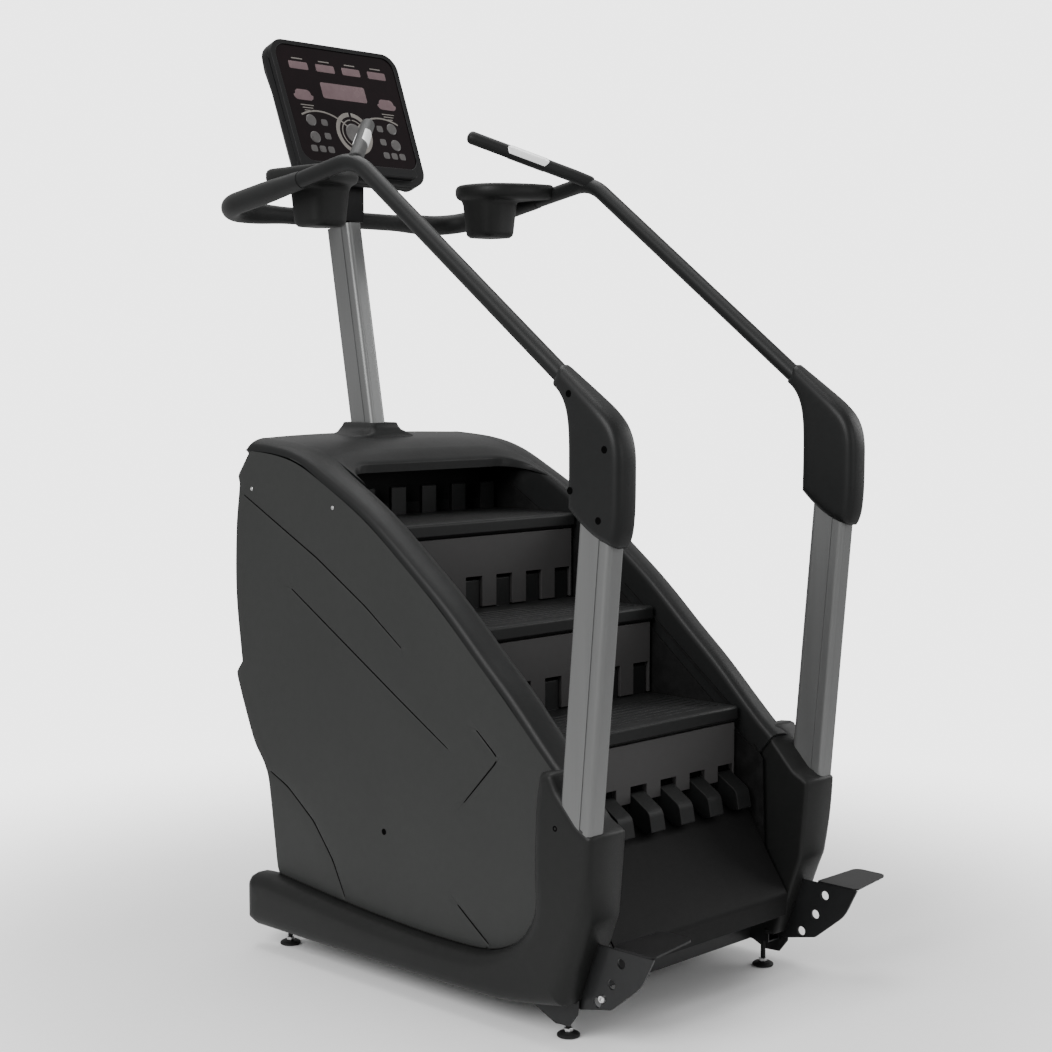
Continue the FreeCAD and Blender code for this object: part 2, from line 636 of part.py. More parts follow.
def bowed(points, half, crown=0.0):
    """Loft across the machine; points marked True in their last place bow forwards at the middle."""
    wires = []
    for x, bow in ((-half, 0.0), (0.0, 1.0), (half, 0.0)):
        section = [V(x, y + bow * FRONT_BULGE * moves, z + bow * crown) for y, z, moves in points]
        wires.append(Part.makePolygon(section + section[:1]))
    return Part.makeLoft(wires, True, False)


def hood():
    """Top cover in front of the stair well, and the front cover below it."""
    top = [(523.7, 1159, 1), (523.7, 1182, 1), (430, 1178, 0), (348, 1162, 0), (290, 1136, 0),
           (294, 1131, 0), (352, 1156, 0), (430, 1174, 0), (519, 1178, 1), (519, 1159, 1)]
    shell = bowed(top, WALL_X - 0.3, 4.0)
    save("hood", shell.cut(box(-27, 27, 440, 572, 1100, 1200)))
    edge = [(528, 1158.5, 1)] + [(y, z, 1) for y, z in FRONT_EDGE]
    back = [(y - SKIN, z, 1) for y, z in FRONT_EDGE[::-1]] + [(523, 1154.5, 1)]
    save("front_cover", bowed(edge + back, SHELL_X - SKIN - 0.3))


def kick_panel():
    """Curved panel across the rear under the last riser."""
    face = [(-393, 387), (-438, 356, 40), (-489, 272, 60), (-545, 188, 20), (-540, 140)]
    back = [(-534, 142), (-539, 188, 18), (-484, 275, 60), (-433, 351, 40), (-390, 382)]
    save("kick_panel", slab(face + back, -285.7, 285.7))


def mast_boot():
    """Flared boot where the mast leaves the hood."""
    low = plan([(-97, 436, 30), (97, 436, 30), (80, 580, 30), (-80, 580, 30)], 1186.5, 1194)
    high = plan([(-44, 456, 14), (44, 456, 14), (44, 574, 14), (-44, 574, 14)], 1194, 1212)
    mast_room = plan([(-24, 462, 10), (24, 462, 10), (24, 568, 10), (-24, 568, 10)], 1180, 1220)
    save("mast_boot", low.fuse(high).cut(mast_room))


# ---- feet and rear step plates ------------------------------------------------------------------
def feet():
    """Levelling feet: pad and threaded stem."""
    for label, y in (("rear", FOOT_Y[0]), ("front", FOOT_Y[1])):
        for name, side in SIDES:
            x = side * FOOT_X
            pad = Part.makeCone(24, 18, 9, V(x, y, 0), Z_AXIS)
            nut = Part.makeCylinder(9, 8, V(x, y, 9), Z_AXIS)
            stem = Part.makeCylinder(6, 90, V(x, y, 9), Z_AXIS)
            save("foot_%s_%s" % (label, name), pad.fuse(nut).fuse(stem))


def step_plates():
    """Curved bracket and mounting plate at the rear of each side; both plates lie the same way."""
    brackets = []
    plates = []
    for x in BRACKET_X.values():
        bracket = slab(BRACKET, x, x + 6)
        for y, z in BRACKET_HOLES:
            bracket = bracket.cut(rod(V(x - 1, y, z), V(x + 7, y, z), 10))
        plate = plan([(x, -588, 4), (x + 150, -588, 16), (x + 150, -668, 20), (x, -692, 10)], 213.3, 217.3)
        lip = plan([(x + 144, -600), (x + 150, -600), (x + 150, -650), (x + 144, -650)], 201, 213.3)
        brackets.append(bracket)
        plates.append(plate.fuse(lip))
    save("step_brackets", Part.makeCompound(brackets))
    save("step_plates", Part.makeCompound(plates))


def build():
    """Write every node."""
    os.makedirs("parts", exist_ok=True)
    stair_run()
    chains()
    shafts()
    brake()
    base_frame()
    uprights()
    posts()
    mast()
    handrails()
    arms()
    trays()
    console()
    side_panels()
    fairings()
    well_walls()
    base_covers()
    hood()
    kick_panel()
    mast_boot()
    feet()
    step_plates()


build()
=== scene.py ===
import json
import math

import bmesh
import bpy
import numpy as np
from mathutils import Matrix, Vector
from mathutils.geometry import delaunay_2d_cdt


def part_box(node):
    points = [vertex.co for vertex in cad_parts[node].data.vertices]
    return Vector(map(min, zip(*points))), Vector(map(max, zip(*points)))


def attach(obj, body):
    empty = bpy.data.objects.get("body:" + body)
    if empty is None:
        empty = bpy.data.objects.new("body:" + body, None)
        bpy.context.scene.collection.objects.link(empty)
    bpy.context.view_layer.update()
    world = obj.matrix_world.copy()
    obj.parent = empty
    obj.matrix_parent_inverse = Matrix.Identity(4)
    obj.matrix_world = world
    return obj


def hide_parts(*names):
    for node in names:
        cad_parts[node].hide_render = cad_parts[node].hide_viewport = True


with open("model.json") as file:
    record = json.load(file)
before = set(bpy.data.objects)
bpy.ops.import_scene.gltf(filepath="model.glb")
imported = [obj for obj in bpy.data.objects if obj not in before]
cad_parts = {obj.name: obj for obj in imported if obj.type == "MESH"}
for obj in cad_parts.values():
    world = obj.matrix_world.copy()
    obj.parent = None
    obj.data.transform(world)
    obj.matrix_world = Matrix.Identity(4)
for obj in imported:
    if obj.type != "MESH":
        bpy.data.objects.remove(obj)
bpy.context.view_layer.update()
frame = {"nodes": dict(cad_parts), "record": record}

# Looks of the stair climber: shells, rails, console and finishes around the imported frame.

NODES = frame["nodes"]
SIDES = (("left", -1.0), ("right", 1.0))
STATIC = "machine"


# ------------------------------------------------------------------ shader tools
def add(tree, kind, joins=None, **settings):
    """Adds a shader node. joins gives each input, by name or place, a value or another node's output."""
    node = tree.nodes.new("ShaderNode" + kind)
    for key, value in settings.items():
        setattr(node, key, value)
    for key, source in (joins or {}).items():
        if isinstance(source, bpy.types.NodeSocket):
            tree.links.new(source, node.inputs[key])
        else:
            node.inputs[key].default_value = source
    return node


def effect(name, inputs, outputs, fill):
    """A shader node group; fill(tree, inputs) returns the source of each output."""
    group = bpy.data.node_groups.new(name, "ShaderNodeTree")
    for label, value in inputs.items():
        socket = group.interface.new_socket(label, in_out="INPUT", socket_type="NodeSocketFloat")
        socket.default_value = value
    for label in outputs:
        group.interface.new_socket(label, in_out="OUTPUT", socket_type="NodeSocketFloat")
    entry = group.nodes.new("NodeGroupInput")
    leave = group.nodes.new("NodeGroupOutput")
    sources = fill(group, entry.outputs)
    for label, source in zip(outputs, sources):
        group.links.new(source, leave.inputs[label])
    return group


def place(tree, group, **values):
    """Puts a node group in a material, with its own values."""
    node = tree.nodes.new("ShaderNodeGroup")
    node.node_tree = group
    for label, value in values.items():
        node.inputs[label].default_value = value
    return node


def fill_mottle(tree, given):
    """Broad, soft changes of tone over a moulding."""
    where = add(tree, "TexCoord").outputs["Object"]
    broad = add(tree, "TexNoise", {"Vector": where, "Scale": given["Scale"], "Detail": 3.0})
    fine = add(tree, "TexNoise", {"Vector": where, "Scale": 55.0, "Detail": 5.0, "Roughness": 0.65})
    both = add(tree, "Math", {0: broad.outputs["Fac"], 1: fine.outputs["Fac"]}, operation="ADD")
    tone = add(tree, "MapRange", {"Value": both.outputs[0], "From Min": 0.6, "From Max": 1.4})
    return [tone.outputs["Result"]]


def fill_grain(tree, given):
    """Pebbled mould grain, as a height, with a fleck mask for roughness."""
    where = add(tree, "TexCoord").outputs["Object"]
    pebble = add(tree, "TexVoronoi", {"Vector": where, "Scale": given["Scale"]}, feature="SMOOTH_F1")
    noise = add(tree, "TexNoise", {"Vector": where, "Scale": given["Scale"], "Detail": 4.0})
    mixed = add(tree, "Math", {0: pebble.outputs["Distance"], 1: noise.outputs["Fac"]}, operation="ADD")
    fleck = add(tree, "MapRange", {"Value": noise.outputs["Fac"], "From Min": 0.35, "From Max": 0.65})
    return [mixed.outputs[0], fleck.outputs["Result"]]


def fill_wear(tree, given):
    """Rubbed edges: convex edges broken up by noise."""
    where = add(tree, "TexCoord").outputs["Object"]
    edge = add(tree, "NewGeometry").outputs["Pointiness"]
    sharp = add(tree, "MapRange", {"Value": edge, "From Min": given["Start"], "From Max": given["Full"]})
    patch = add(tree, "TexNoise", {"Vector": where, "Scale": 28.0, "Detail": 6.0, "Roughness": 0.7})
    broken = add(tree, "MapRange", {"Value": patch.outputs["Fac"], "From Min": 0.42, "From Max": 0.62})
    mask = add(tree, "Math", {0: sharp.outputs["Result"], 1: broken.outputs["Result"]}, operation="MULTIPLY")
    return [mask.outputs[0]]


def fill_dust(tree, given):
    """Thin dust lying on what faces up."""
    where = add(tree, "TexCoord").outputs["Object"]
    normal = add(tree, "SeparateXYZ", {"Vector": add(tree, "NewGeometry").outputs["Normal"]})
    up = add(tree, "MapRange", {"Value": normal.outputs["Z"], "From Min": 0.45, "From Max": 1.0})
    cloud = add(tree, "TexNoise", {"Vector": where, "Scale": 14.0, "Detail": 8.0, "Roughness": 0.75})
    patch = add(tree, "MapRange", {"Value": cloud.outputs["Fac"], "From Min": 0.35, "From Max": 0.75})
    mask = add(tree, "Math", {0: up.outputs["Result"], 1: patch.outputs["Result"]}, operation="MULTIPLY")
    scaled = add(tree, "Math", {0: mask.outputs[0], 1: given["Amount"]}, operation="MULTIPLY")
    return [scaled.outputs[0]]


def fill_drawn(tree, given):
    """Fine lines along an extrusion that stands upright."""
    where = add(tree, "TexCoord").outputs["Object"]
    squeezed = add(tree, "VectorMath", {0: where, 1: (1.0, 1.0, 0.012)}, operation="MULTIPLY")
    lines = add(tree, "TexNoise", {"Vector": squeezed.outputs[0], "Scale": given["Scale"], "Detail": 6.0})
    cloud = add(tree, "TexNoise", {"Vector": squeezed.outputs[0], "Scale": 22.0, "Detail": 3.0})
    mixed = add(tree, "Math", {0: lines.outputs["Fac"], 1: cloud.outputs["Fac"]}, operation="ADD")
    tone = add(tree, "MapRange", {"Value": mixed.outputs[0], "From Min": 0.5, "From Max": 1.5})
    return [lines.outputs["Fac"], tone.outputs["Result"]]


MOTTLE = effect("Soft Mottle", {"Scale": 4.0}, ["Tone"], fill_mottle)
GRAIN = effect("Mould Grain", {"Scale": 900.0}, ["Height", "Fleck"], fill_grain)
WEAR = effect("Edge Wear", {"Start": 0.53, "Full": 0.62}, ["Mask"], fill_wear)
DUST = effect("Settled Dust", {"Amount": 0.3}, ["Mask"], fill_dust)
DRAWN = effect("Drawn Lines", {"Scale": 420.0}, ["Height", "Tone"], fill_drawn)


def blank(name):
    """New material; returns it with its tree and its principled shader."""
    material = bpy.data.materials.new(name)
    material.use_nodes = True
    tree = material.node_tree
    return material, tree, tree.nodes["Principled BSDF"]


COLOUR_A, COLOUR_B, COLOUR_OUT = 6, 7, 2     # the Mix node's colour sockets
DUST_COLOUR = (0.1, 0.097, 0.093)


def mix_colour(tree, mask, first, second):
    """Colour between two, by a mask."""
    node = add(tree, "Mix", {0: mask}, data_type="RGBA")
    for side, source in ((COLOUR_A, first), (COLOUR_B, second)):
        if isinstance(source, bpy.types.NodeSocket):
            tree.links.new(source, node.inputs[side])
        else:
            node.inputs[side].default_value = (*source, 1.0)
    return node.outputs[COLOUR_OUT]


def span(tree, value, low, high):
    """Maps a 0 to 1 value onto another range."""
    return add(tree, "MapRange", {"Value": value, "To Min": low, "To Max": high}).outputs["Result"]


def moulded(name, dark, light, rough, grain=(700.0, 0.00012), wear_from=0.55, dust=0.05, sheen=0.0,
            coat=0.0, shine=0.2):
    """Grained moulding: mottled colour, fine bump, rubbed edges and a little dust.

    grain holds how many pebbles fit in a metre and how deep they are."""
    material, tree, shader = blank(name)
    tone = place(tree, MOTTLE, Scale=3.5).outputs["Tone"]
    skin = place(tree, GRAIN, Scale=grain[0])
    colour = mix_colour(tree, tone, dark, light)
    rubbed = place(tree, WEAR, Start=wear_from, Full=wear_from + 0.15).outputs["Mask"]
    colour = mix_colour(tree, rubbed, colour, tuple(1.9 * c + 0.004 for c in light))
    settled = place(tree, DUST, Amount=dust).outputs["Mask"]
    colour = mix_colour(tree, settled, colour, DUST_COLOUR)
    tree.links.new(colour, shader.inputs["Base Color"])
    tree.links.new(span(tree, skin.outputs["Fleck"], rough - 0.05, rough + 0.06), shader.inputs["Roughness"])
    bump = add(tree, "Bump", {"Height": skin.outputs["Height"], "Strength": 0.25, "Distance": grain[1]})
    tree.links.new(bump.outputs["Normal"], shader.inputs["Normal"])
    shader.inputs["Sheen Weight"].default_value = sheen
    shader.inputs["Specular IOR Level"].default_value = shine
    shader.inputs["Coat Weight"].default_value = coat
    return material


def drawn_metal(name, dark, light, rough, metallic=0.6):
    """Satin anodised extrusion with fine upright lines."""
    material, tree, shader = blank(name)
    lines = place(tree, DRAWN)
    colour = mix_colour(tree, lines.outputs["Tone"], dark, light)
    rubbed = place(tree, WEAR, Start=0.72, Full=0.9).outputs["Mask"]
    colour = mix_colour(tree, rubbed, colour, tuple(min(1.0, 1.5 * c) for c in light))
    tree.links.new(colour, shader.inputs["Base Color"])
    tree.links.new(span(tree, lines.outputs["Tone"], rough - 0.06, rough + 0.06), shader.inputs["Roughness"])
    bump = add(tree, "Bump", {"Height": lines.outputs["Height"], "Strength": 0.15, "Distance": 0.0002})
    tree.links.new(bump.outputs["Normal"], shader.inputs["Normal"])
    shader.inputs["Metallic"].default_value = metallic
    return material


def bare_metal(name, dark, light, rough):
    """Turned or pressed steel with cloudy stains."""
    material, tree, shader = blank(name)
    tone = place(tree, MOTTLE, Scale=18.0).outputs["Tone"]
    skin = place(tree, GRAIN, Scale=260.0)
    tree.links.new(mix_colour(tree, tone, dark, light), shader.inputs["Base Color"])
    tree.links.new(span(tree, tone, rough - 0.07, rough + 0.08), shader.inputs["Roughness"])
    bump = add(tree, "Bump", {"Height": skin.outputs["Height"], "Strength": 0.1, "Distance": 0.0002})
    tree.links.new(bump.outputs["Normal"], shader.inputs["Normal"])
    shader.inputs["Metallic"].default_value = 1.0
    return material


def glossy(name, dark, light, rough, coat=0.6, shine=0.3):
    """Gloss overlay with faint smears in its roughness."""
    material, tree, shader = blank(name)
    tone = place(tree, MOTTLE, Scale=7.0).outputs["Tone"]
    tree.links.new(mix_colour(tree, tone, dark, light), shader.inputs["Base Color"])
    tree.links.new(span(tree, tone, rough, rough + 0.1), shader.inputs["Roughness"])
    skin = place(tree, GRAIN, Scale=120.0)
    bump = add(tree, "Bump", {"Height": skin.outputs["Height"], "Strength": 0.02, "Distance": 0.0002})
    tree.links.new(bump.outputs["Normal"], shader.inputs["Normal"])
    shader.inputs["Coat Weight"].default_value = coat
    shader.inputs["Specular IOR Level"].default_value = shine
    return material


def finishes():
    """Every material of the machine, by the record's slot or by its own name."""
    return {
        "panel_plastic": moulded("Charcoal panel", (0.0208, 0.0216, 0.0208), (0.0248, 0.0256, 0.0248), 0.5),
        "shell_plastic": moulded("Black shell", (0.0053, 0.0056, 0.0056), (0.0068, 0.0071, 0.0071), 0.45),
        # painted shade: darker, less shiny copy of the black plastic, for the shaded inside of the stair well
        "well_plastic": moulded("Well lining", (0.003, 0.003, 0.003), (0.005, 0.005, 0.005), 0.6, dust=0.02,
                                 shine=0.12),
        "cover_plastic": moulded("Base cover", (0.0058, 0.0061, 0.0059), (0.0078, 0.0081, 0.0078), 0.48),
        "sleeve_plastic": moulded("Sleeve", (0.0056, 0.0059, 0.0059), (0.0077, 0.0081, 0.0081), 0.44),
        "console_plastic": moulded("Console housing", (0.0031, 0.0031, 0.0034), (0.0046, 0.0046, 0.0050), 0.4,
                                   wear_from=0.64),
        "tread_plastic": moulded("Ribbed tread", (0.0043, 0.0046, 0.0046), (0.0068, 0.0071, 0.0071), 0.46,
                                 grain=(420.0, 0.0002), wear_from=0.64, dust=0.06),
        "riser_plastic": moulded("Riser", (0.036, 0.0348, 0.0348), (0.04, 0.0388, 0.0388), 0.46,
                                 wear_from=0.66),
        "box_plastic": moulded("Step plate", (0.0053, 0.0053, 0.0056), (0.0074, 0.0074, 0.0077), 0.43,
                               wear_from=0.64),
        "grip_rubber": moulded("Moulded rubber", (0.0053, 0.0056, 0.0056), (0.0074, 0.0077, 0.0077), 0.52,
                               grain=(1100.0, 0.0001), wear_from=0.8, sheen=0.06),
        "foot_rubber": moulded("Foot rubber", (0.005, 0.005, 0.005), (0.009, 0.009, 0.009), 0.6),
        "belt_rubber": moulded("Belt", (0.005, 0.005, 0.005), (0.009, 0.009, 0.009), 0.6),
        "frame_paint": moulded("Frame paint", (0.0081, 0.0084, 0.0087), (0.0112, 0.0115, 0.0118), 0.4,
                               wear_from=0.64, coat=0.1),
        "rail_paint": moulded("Rail coating", (0.0059, 0.0062, 0.0062), (0.0077, 0.0081, 0.0081), 0.42,
                              grain=(900.0, 0.00002), wear_from=0.8, dust=0.01),
        "post_aluminium": drawn_metal("Satin extrusion", (0.142, 0.144, 0.143), (0.158, 0.16, 0.159), 0.4),
        "pulse_metal": drawn_metal("Pulse contact", (0.8, 0.8, 0.8), (0.92, 0.92, 0.92), 0.3, 0.3),
        "bright_steel": bare_metal("Bright steel", (0.5, 0.5, 0.5), (0.7, 0.7, 0.7), 0.3),
        "dark_steel": bare_metal("Dark steel", (0.04, 0.04, 0.042), (0.08, 0.08, 0.082), 0.42),
        "cast_metal": bare_metal("Cast metal", (0.25, 0.25, 0.25), (0.4, 0.4, 0.4), 0.5),
        "console_glass": glossy("Console overlay", (0.0022, 0.0008, 0.0012), (0.005, 0.0014, 0.0024), 0.14,
                                0.05, 0.14),
        "key_plastic": glossy("Console keys", (0.045, 0.042, 0.042), (0.09, 0.086, 0.084), 0.25, 0.1),
        "window": glossy("Display window", (0.095, 0.06, 0.066), (0.13, 0.088, 0.094), 0.2, 0.1),
        "legend": glossy("Printed legend", (0.12, 0.11, 0.1), (0.19, 0.175, 0.16), 0.35, 0.1),
        # painted shade: near-black, hardly shiny finish for the dark strips in the character lines, the screw
        # recesses and the hole plug
        "shadow": moulded("Seam shadow", (0.0008, 0.0008, 0.0008), (0.0016, 0.0016, 0.0016), 0.8, dust=0.0,
                          shine=0.02),
    }


FINISH = finishes()
SLOT_OF = {part["node"]: part["material_slot"] for part in frame["record"]["subparts"]}


# ------------------------------------------------------------------ mesh tools
def settle(piece, finish, body=STATIC, stands_for=(), angle=40.0):
    """Gives a piece its finish and its body, and hides the CAD nodes it stands for."""
    piece.data.materials.clear()
    piece.data.materials.append(FINISH[finish])
    if angle:
        piece.data.shade_smooth()
        piece.data.set_sharp_from_angle(angle=math.radians(angle))
    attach(piece, body)
    if stands_for:
        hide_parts(*stands_for)
    return piece


def piece_from(name, verts, faces):
    """Mesh object from points and faces, with its normals made consistent."""
    mesh = bpy.data.meshes.new(name)
    mesh.from_pydata([tuple(v) for v in verts], [], faces)
    piece = bpy.data.objects.new(name, mesh)
    bpy.context.scene.collection.objects.link(piece)
    work = bmesh.new()
    work.from_mesh(mesh)
    bmesh.ops.remove_doubles(work, verts=work.verts, dist=1e-6)
    bmesh.ops.recalc_face_normals(work, faces=work.faces)
    work.to_mesh(mesh)
    work.free()
    return piece


def apply_modifiers(piece):
    """Bakes the modifiers into the mesh."""
    graph = bpy.context.evaluated_depsgraph_get()
    mesh = bpy.data.meshes.new_from_object(piece.evaluated_get(graph))
    piece.modifiers.clear()
    piece.data = mesh
    return piece


EDGE_ANGLE = math.radians(32)        # edges sharper than this are rounded over
FLAT_ANGLE = math.radians(1.0)       # faces this close to flat are joined


def softened(node, finish, body=STATIC, width=0.0012, segments=2):
    """The node's own shape with its edges rounded over, as a new piece."""
    mesh = NODES[node].data.copy()
    piece = bpy.data.objects.new(node + "_skin", mesh)
    bpy.context.scene.collection.objects.link(piece)
    work = bmesh.new()
    work.from_mesh(mesh)
    bmesh.ops.remove_doubles(work, verts=work.verts, dist=1e-5)
    bmesh.ops.dissolve_limit(work, angle_limit=FLAT_ANGLE, verts=work.verts, edges=work.edges)
    work.to_mesh(mesh)
    work.free()
    bevel = piece.modifiers.new("round", "BEVEL")
    bevel.width = width
    bevel.segments = segments
    bevel.limit_method = "ANGLE"
    bevel.angle_limit = EDGE_ANGLE
    bevel.use_clamp_overlap = True
    apply_modifiers(piece)
    piece.data.shade_smooth()
    piece.data.set_sharp_from_angle(angle=math.radians(40))
    level = piece.modifiers.new("flat_faces", "WEIGHTED_NORMAL")
    level.keep_sharp = True
    level.weight = 80
    apply_modifiers(piece)
    return settle(piece, finish, body, (node,), None)


def smooth_loop(points, step, keep=38.0):
    """Closed loop resampled along a curve that keeps only its sharp corners."""
    count = len(points)
    points = [np.array(p, float) for p in points]
    sharp = []
    for i in range(count):
        before = points[i] - points[i - 1]
        after = points[(i + 1) % count] - points[i]
        turn = math.degrees(abs(math.atan2(before[0] * after[1] - before[1] * after[0], before @ after)))
        sharp.append(turn > keep)
    result = []
    for i in range(count):
        a, b = points[i], points[(i + 1) % count]
        length = np.linalg.norm(b - a)
        tangent_a = (b - a) if sharp[i] else (b - points[i - 1]) / 2
        tangent_b = (b - a) if sharp[(i + 1) % count] else (points[(i + 2) % count] - a) / 2
        for tangent in (tangent_a, tangent_b):
            size = np.linalg.norm(tangent)
            tangent *= min(1.0, length / max(size, 1e-9))
        pieces = max(1, int(round(length / step)))
        for k in range(pieces):
            t = k / pieces
            result.append((2 * t**3 - 3 * t**2 + 1) * a + (t**3 - 2 * t**2 + t) * tangent_a
                          + (3 * t**2 - 2 * t**3) * b + (t**3 - t**2) * tangent_b)
    return np.array(result)


def distance_to(points, line, closed):
    """Distance from each point to a polyline."""
    starts = line if closed else line[:-1]
    ends = np.roll(line, -1, axis=0) if closed else line[1:]
    along = ends - starts
    size = np.maximum((along**2).sum(1), 1e-12)
    best = np.full(len(points), 1e9)
    for a, d, s in zip(starts, along, size):
        t = np.clip(((points - a) @ d) / s, 0, 1)
        best = np.minimum(best, np.linalg.norm(points - a - t[:, None] * d, axis=1))
    return best


def inside(points, loop):
    """Which points lie inside a closed loop."""
    result = np.zeros(len(points), bool)
    x, y = points[:, 0], points[:, 1]
    for a, b in zip(loop, np.roll(loop, -1, axis=0)):
        crosses = (a[1] > y) != (b[1] > y)
        reach = (b[0] - a[0]) * (y - a[1]) / (b[1] - a[1] + 1e-15) + a[0]
        result ^= crosses & (x < reach)
    return result


def normals_of(line, closed=False):
    """Unit normals of a polyline, to its left."""
    tangent = np.roll(line, -1, axis=0) - np.roll(line, 1, axis=0) if closed else np.gradient(line, axis=0)
    normal = np.stack([-tangent[:, 1], tangent[:, 0]], 1)
    return normal / np.maximum(np.linalg.norm(normal, axis=1, keepdims=True), 1e-12)


def relaxed(run, rounds):
    """Evens out a polyline between its ends."""
    for _ in range(rounds):
        run[1:-1] = (run[:-2] + 2 * run[1:-1] + run[2:]) / 4
    return run


def resample(points, step):
    """Open polyline with even steps."""
    points = np.array(points, float)
    lengths = np.concatenate([[0], np.cumsum(np.linalg.norm(np.diff(points, axis=0), axis=1))])
    count = max(2, int(lengths[-1] / step) + 1)
    at = np.linspace(0, lengths[-1], count)
    return np.stack([np.interp(at, lengths, points[:, k]) for k in (0, 1)], 1)


LINE_HALF = 0.006            # how far each side of a pressed line the close rows reach


def sheet_mesh(loop, rim, lines=(), spacing=0.016):
    """Triangles that fill a loop, with closer rows along its rim and along the given lines."""
    area = 0.5 * float(np.sum(loop[:, 0] * np.roll(loop[:, 1], -1) - np.roll(loop[:, 0], -1) * loop[:, 1]))
    if area < 0:
        loop = loop[::-1]
    groups = []
    for share in (0.12, 0.35, 0.65, 1.0):
        row = loop + rim * share * normals_of(loop, True)
        groups.append(row[(distance_to(row, loop, True) > rim * share * 0.9) & inside(row, loop)])
    for line in lines:
        dense = resample(line, 0.007)
        for share in (-1.0, -0.5, -0.15, 0.15, 0.5, 1.0):
            row = dense + share * LINE_HALF * normals_of(dense)
            groups.append(row[(distance_to(row, loop, True) > rim * 1.1) & inside(row, loop)])
    low, high = loop.min(0), loop.max(0)
    xs = np.arange(low[0], high[0], spacing)
    ys = np.arange(low[1], high[1], spacing * 0.87)
    grid = np.array([(x + (spacing / 2 if j % 2 else 0), y) for j, y in enumerate(ys) for x in xs])
    keep = inside(grid, loop) & (distance_to(grid, loop, True) > rim + spacing * 0.4)
    for line in lines:
        keep &= distance_to(grid, np.array(line, float), False) > LINE_HALF + spacing * 0.4
    groups.append(grid[keep])
    points = [Vector(p) for group in (loop, *groups) for p in group]
    edges = [(i, (i + 1) % len(loop)) for i in range(len(loop))]
    made = delaunay_2d_cdt(points, edges, [], 1, 1e-6)
    return np.array([tuple(v) for v in made[0]]), [tuple(f) for f in made[2]], loop


def closed_faces(faces, count):
    """Faces of a sheet, of its copy behind it, and of the wall round its border."""
    behind = [tuple(i + count for i in reversed(f)) for f in faces]
    borders = {(a, b): True for f in faces for a, b in zip(f, f[1:] + f[:1])}
    walls = [(b, a, a + count, b + count) for a, b in borders if (b, a) not in borders]
    return faces + behind + walls


def roll_off(distance, radius):
    """Drop of a rounded rim at a distance in from its edge."""
    reach = np.clip(distance / radius, 0, 1)
    return radius * (1 - np.sqrt(np.maximum(0.0, 1 - (1 - reach) ** 2)))


def pillow(name, loop, thick, radius_top, radius_bottom, to_world, relief=None, lines=(), spacing=0.016):
    """Closed solid over a loop: a rounded top and bottom joined by an upright wall.

    to_world(a, b, h) gives the 3-D points; relief(points, height) reshapes the top."""
    verts, faces, loop = sheet_mesh(loop, radius_top, lines, spacing)
    edge = distance_to(verts, loop, True)
    top = thick - roll_off(edge, radius_top)
    if relief is not None:
        top = relief(verts, top)
    bottom = roll_off(edge, radius_bottom)
    world = np.concatenate([to_world(verts[:, 0], verts[:, 1], height) for height in (top, bottom)])
    return piece_from(name, world, closed_faces(faces, len(verts)))


def loft(name, sections):
    """Closed skin over a row of equal closed sections."""
    size = len(sections[0])
    verts = [p for section in sections for p in section]
    faces = []
    for i in range(len(sections) - 1):
        for j in range(size):
            k = (j + 1) % size
            faces.append((i * size + j, i * size + k, (i + 1) * size + k, (i + 1) * size + j))
    last = (len(sections) - 1) * size
    faces.append(tuple(reversed(range(size))))
    faces.append(tuple(last + j for j in range(size)))
    return piece_from(name, verts, faces)


def curve_points(points, bends, step=0.008):
    """Straight runs joined by arcs, as close points."""
    points = [Vector(p) for p in points]
    path = [points[0]]
    for i in range(1, len(points) - 1):
        before = (points[i - 1] - points[i]).normalized()
        after = (points[i + 1] - points[i]).normalized()
        half = before.angle(after) / 2
        back = bends[i - 1] / math.tan(half)
        start = points[i] + before * back
        end = points[i] + after * back
        centre = points[i] + (before + after).normalized() * (bends[i - 1] / math.sin(half))
        turn = math.pi - 2 * half
        count = max(3, int(bends[i - 1] * turn / step))
        first = start - centre
        axis = first.cross(end - centre).normalized()
        for k in range(count + 1):
            path.append(centre + Matrix.Rotation(turn * k / count, 3, axis) @ first)
    path.append(points[-1])
    return path


TUBE_SIDES = 28


def tube_along(name, path, size_at, dome=False):
    """Round or oval tube; size_at(share) gives its half width and half height at a share of its length."""
    lengths = [0.0]
    for a, b in zip(path, path[1:]):
        lengths.append(lengths[-1] + (b - a).length)
    dense = []
    count = max(8, int(lengths[-1] / 0.01))
    for k in range(count + 1):
        at = lengths[-1] * k / count
        i = max(j for j in range(len(lengths)) if lengths[j] <= at + 1e-9)
        i = min(i, len(path) - 2)
        share = (at - lengths[i]) / max(1e-9, lengths[i + 1] - lengths[i])
        dense.append(path[i].lerp(path[i + 1], share))
    sections = []
    for k, centre in enumerate(dense):
        ahead = (dense[min(k + 1, count)] - dense[max(k - 1, 0)]).normalized()
        side = ahead.cross(Vector((0, 0, 1))).normalized()
        rise = side.cross(ahead)
        half_w, half_h = size_at(k / count)
        sections.append([centre + side * (half_w * math.cos(t)) + rise * (half_h * math.sin(t))
                         for t in np.linspace(0, 2 * math.pi, TUBE_SIDES, endpoint=False)])
    if dome:
        sections = [dome_end(sections[0], dense[0] - dense[1], k) for k in (3, 2, 1)] + sections
        sections += [dome_end(sections[-1], dense[-1] - dense[-2], k) for k in (1, 2, 3)]
    return loft(name, sections)


def turned(name, x, y, rows, sides=26):
    """Upright turned piece about a point, from rows of radius and height."""
    angles = np.linspace(0, 2 * math.pi, sides, endpoint=False)
    return loft(name, [[Vector((x + r * math.cos(t), y + r * math.sin(t), z)) for t in angles]
                       for r, z in rows])


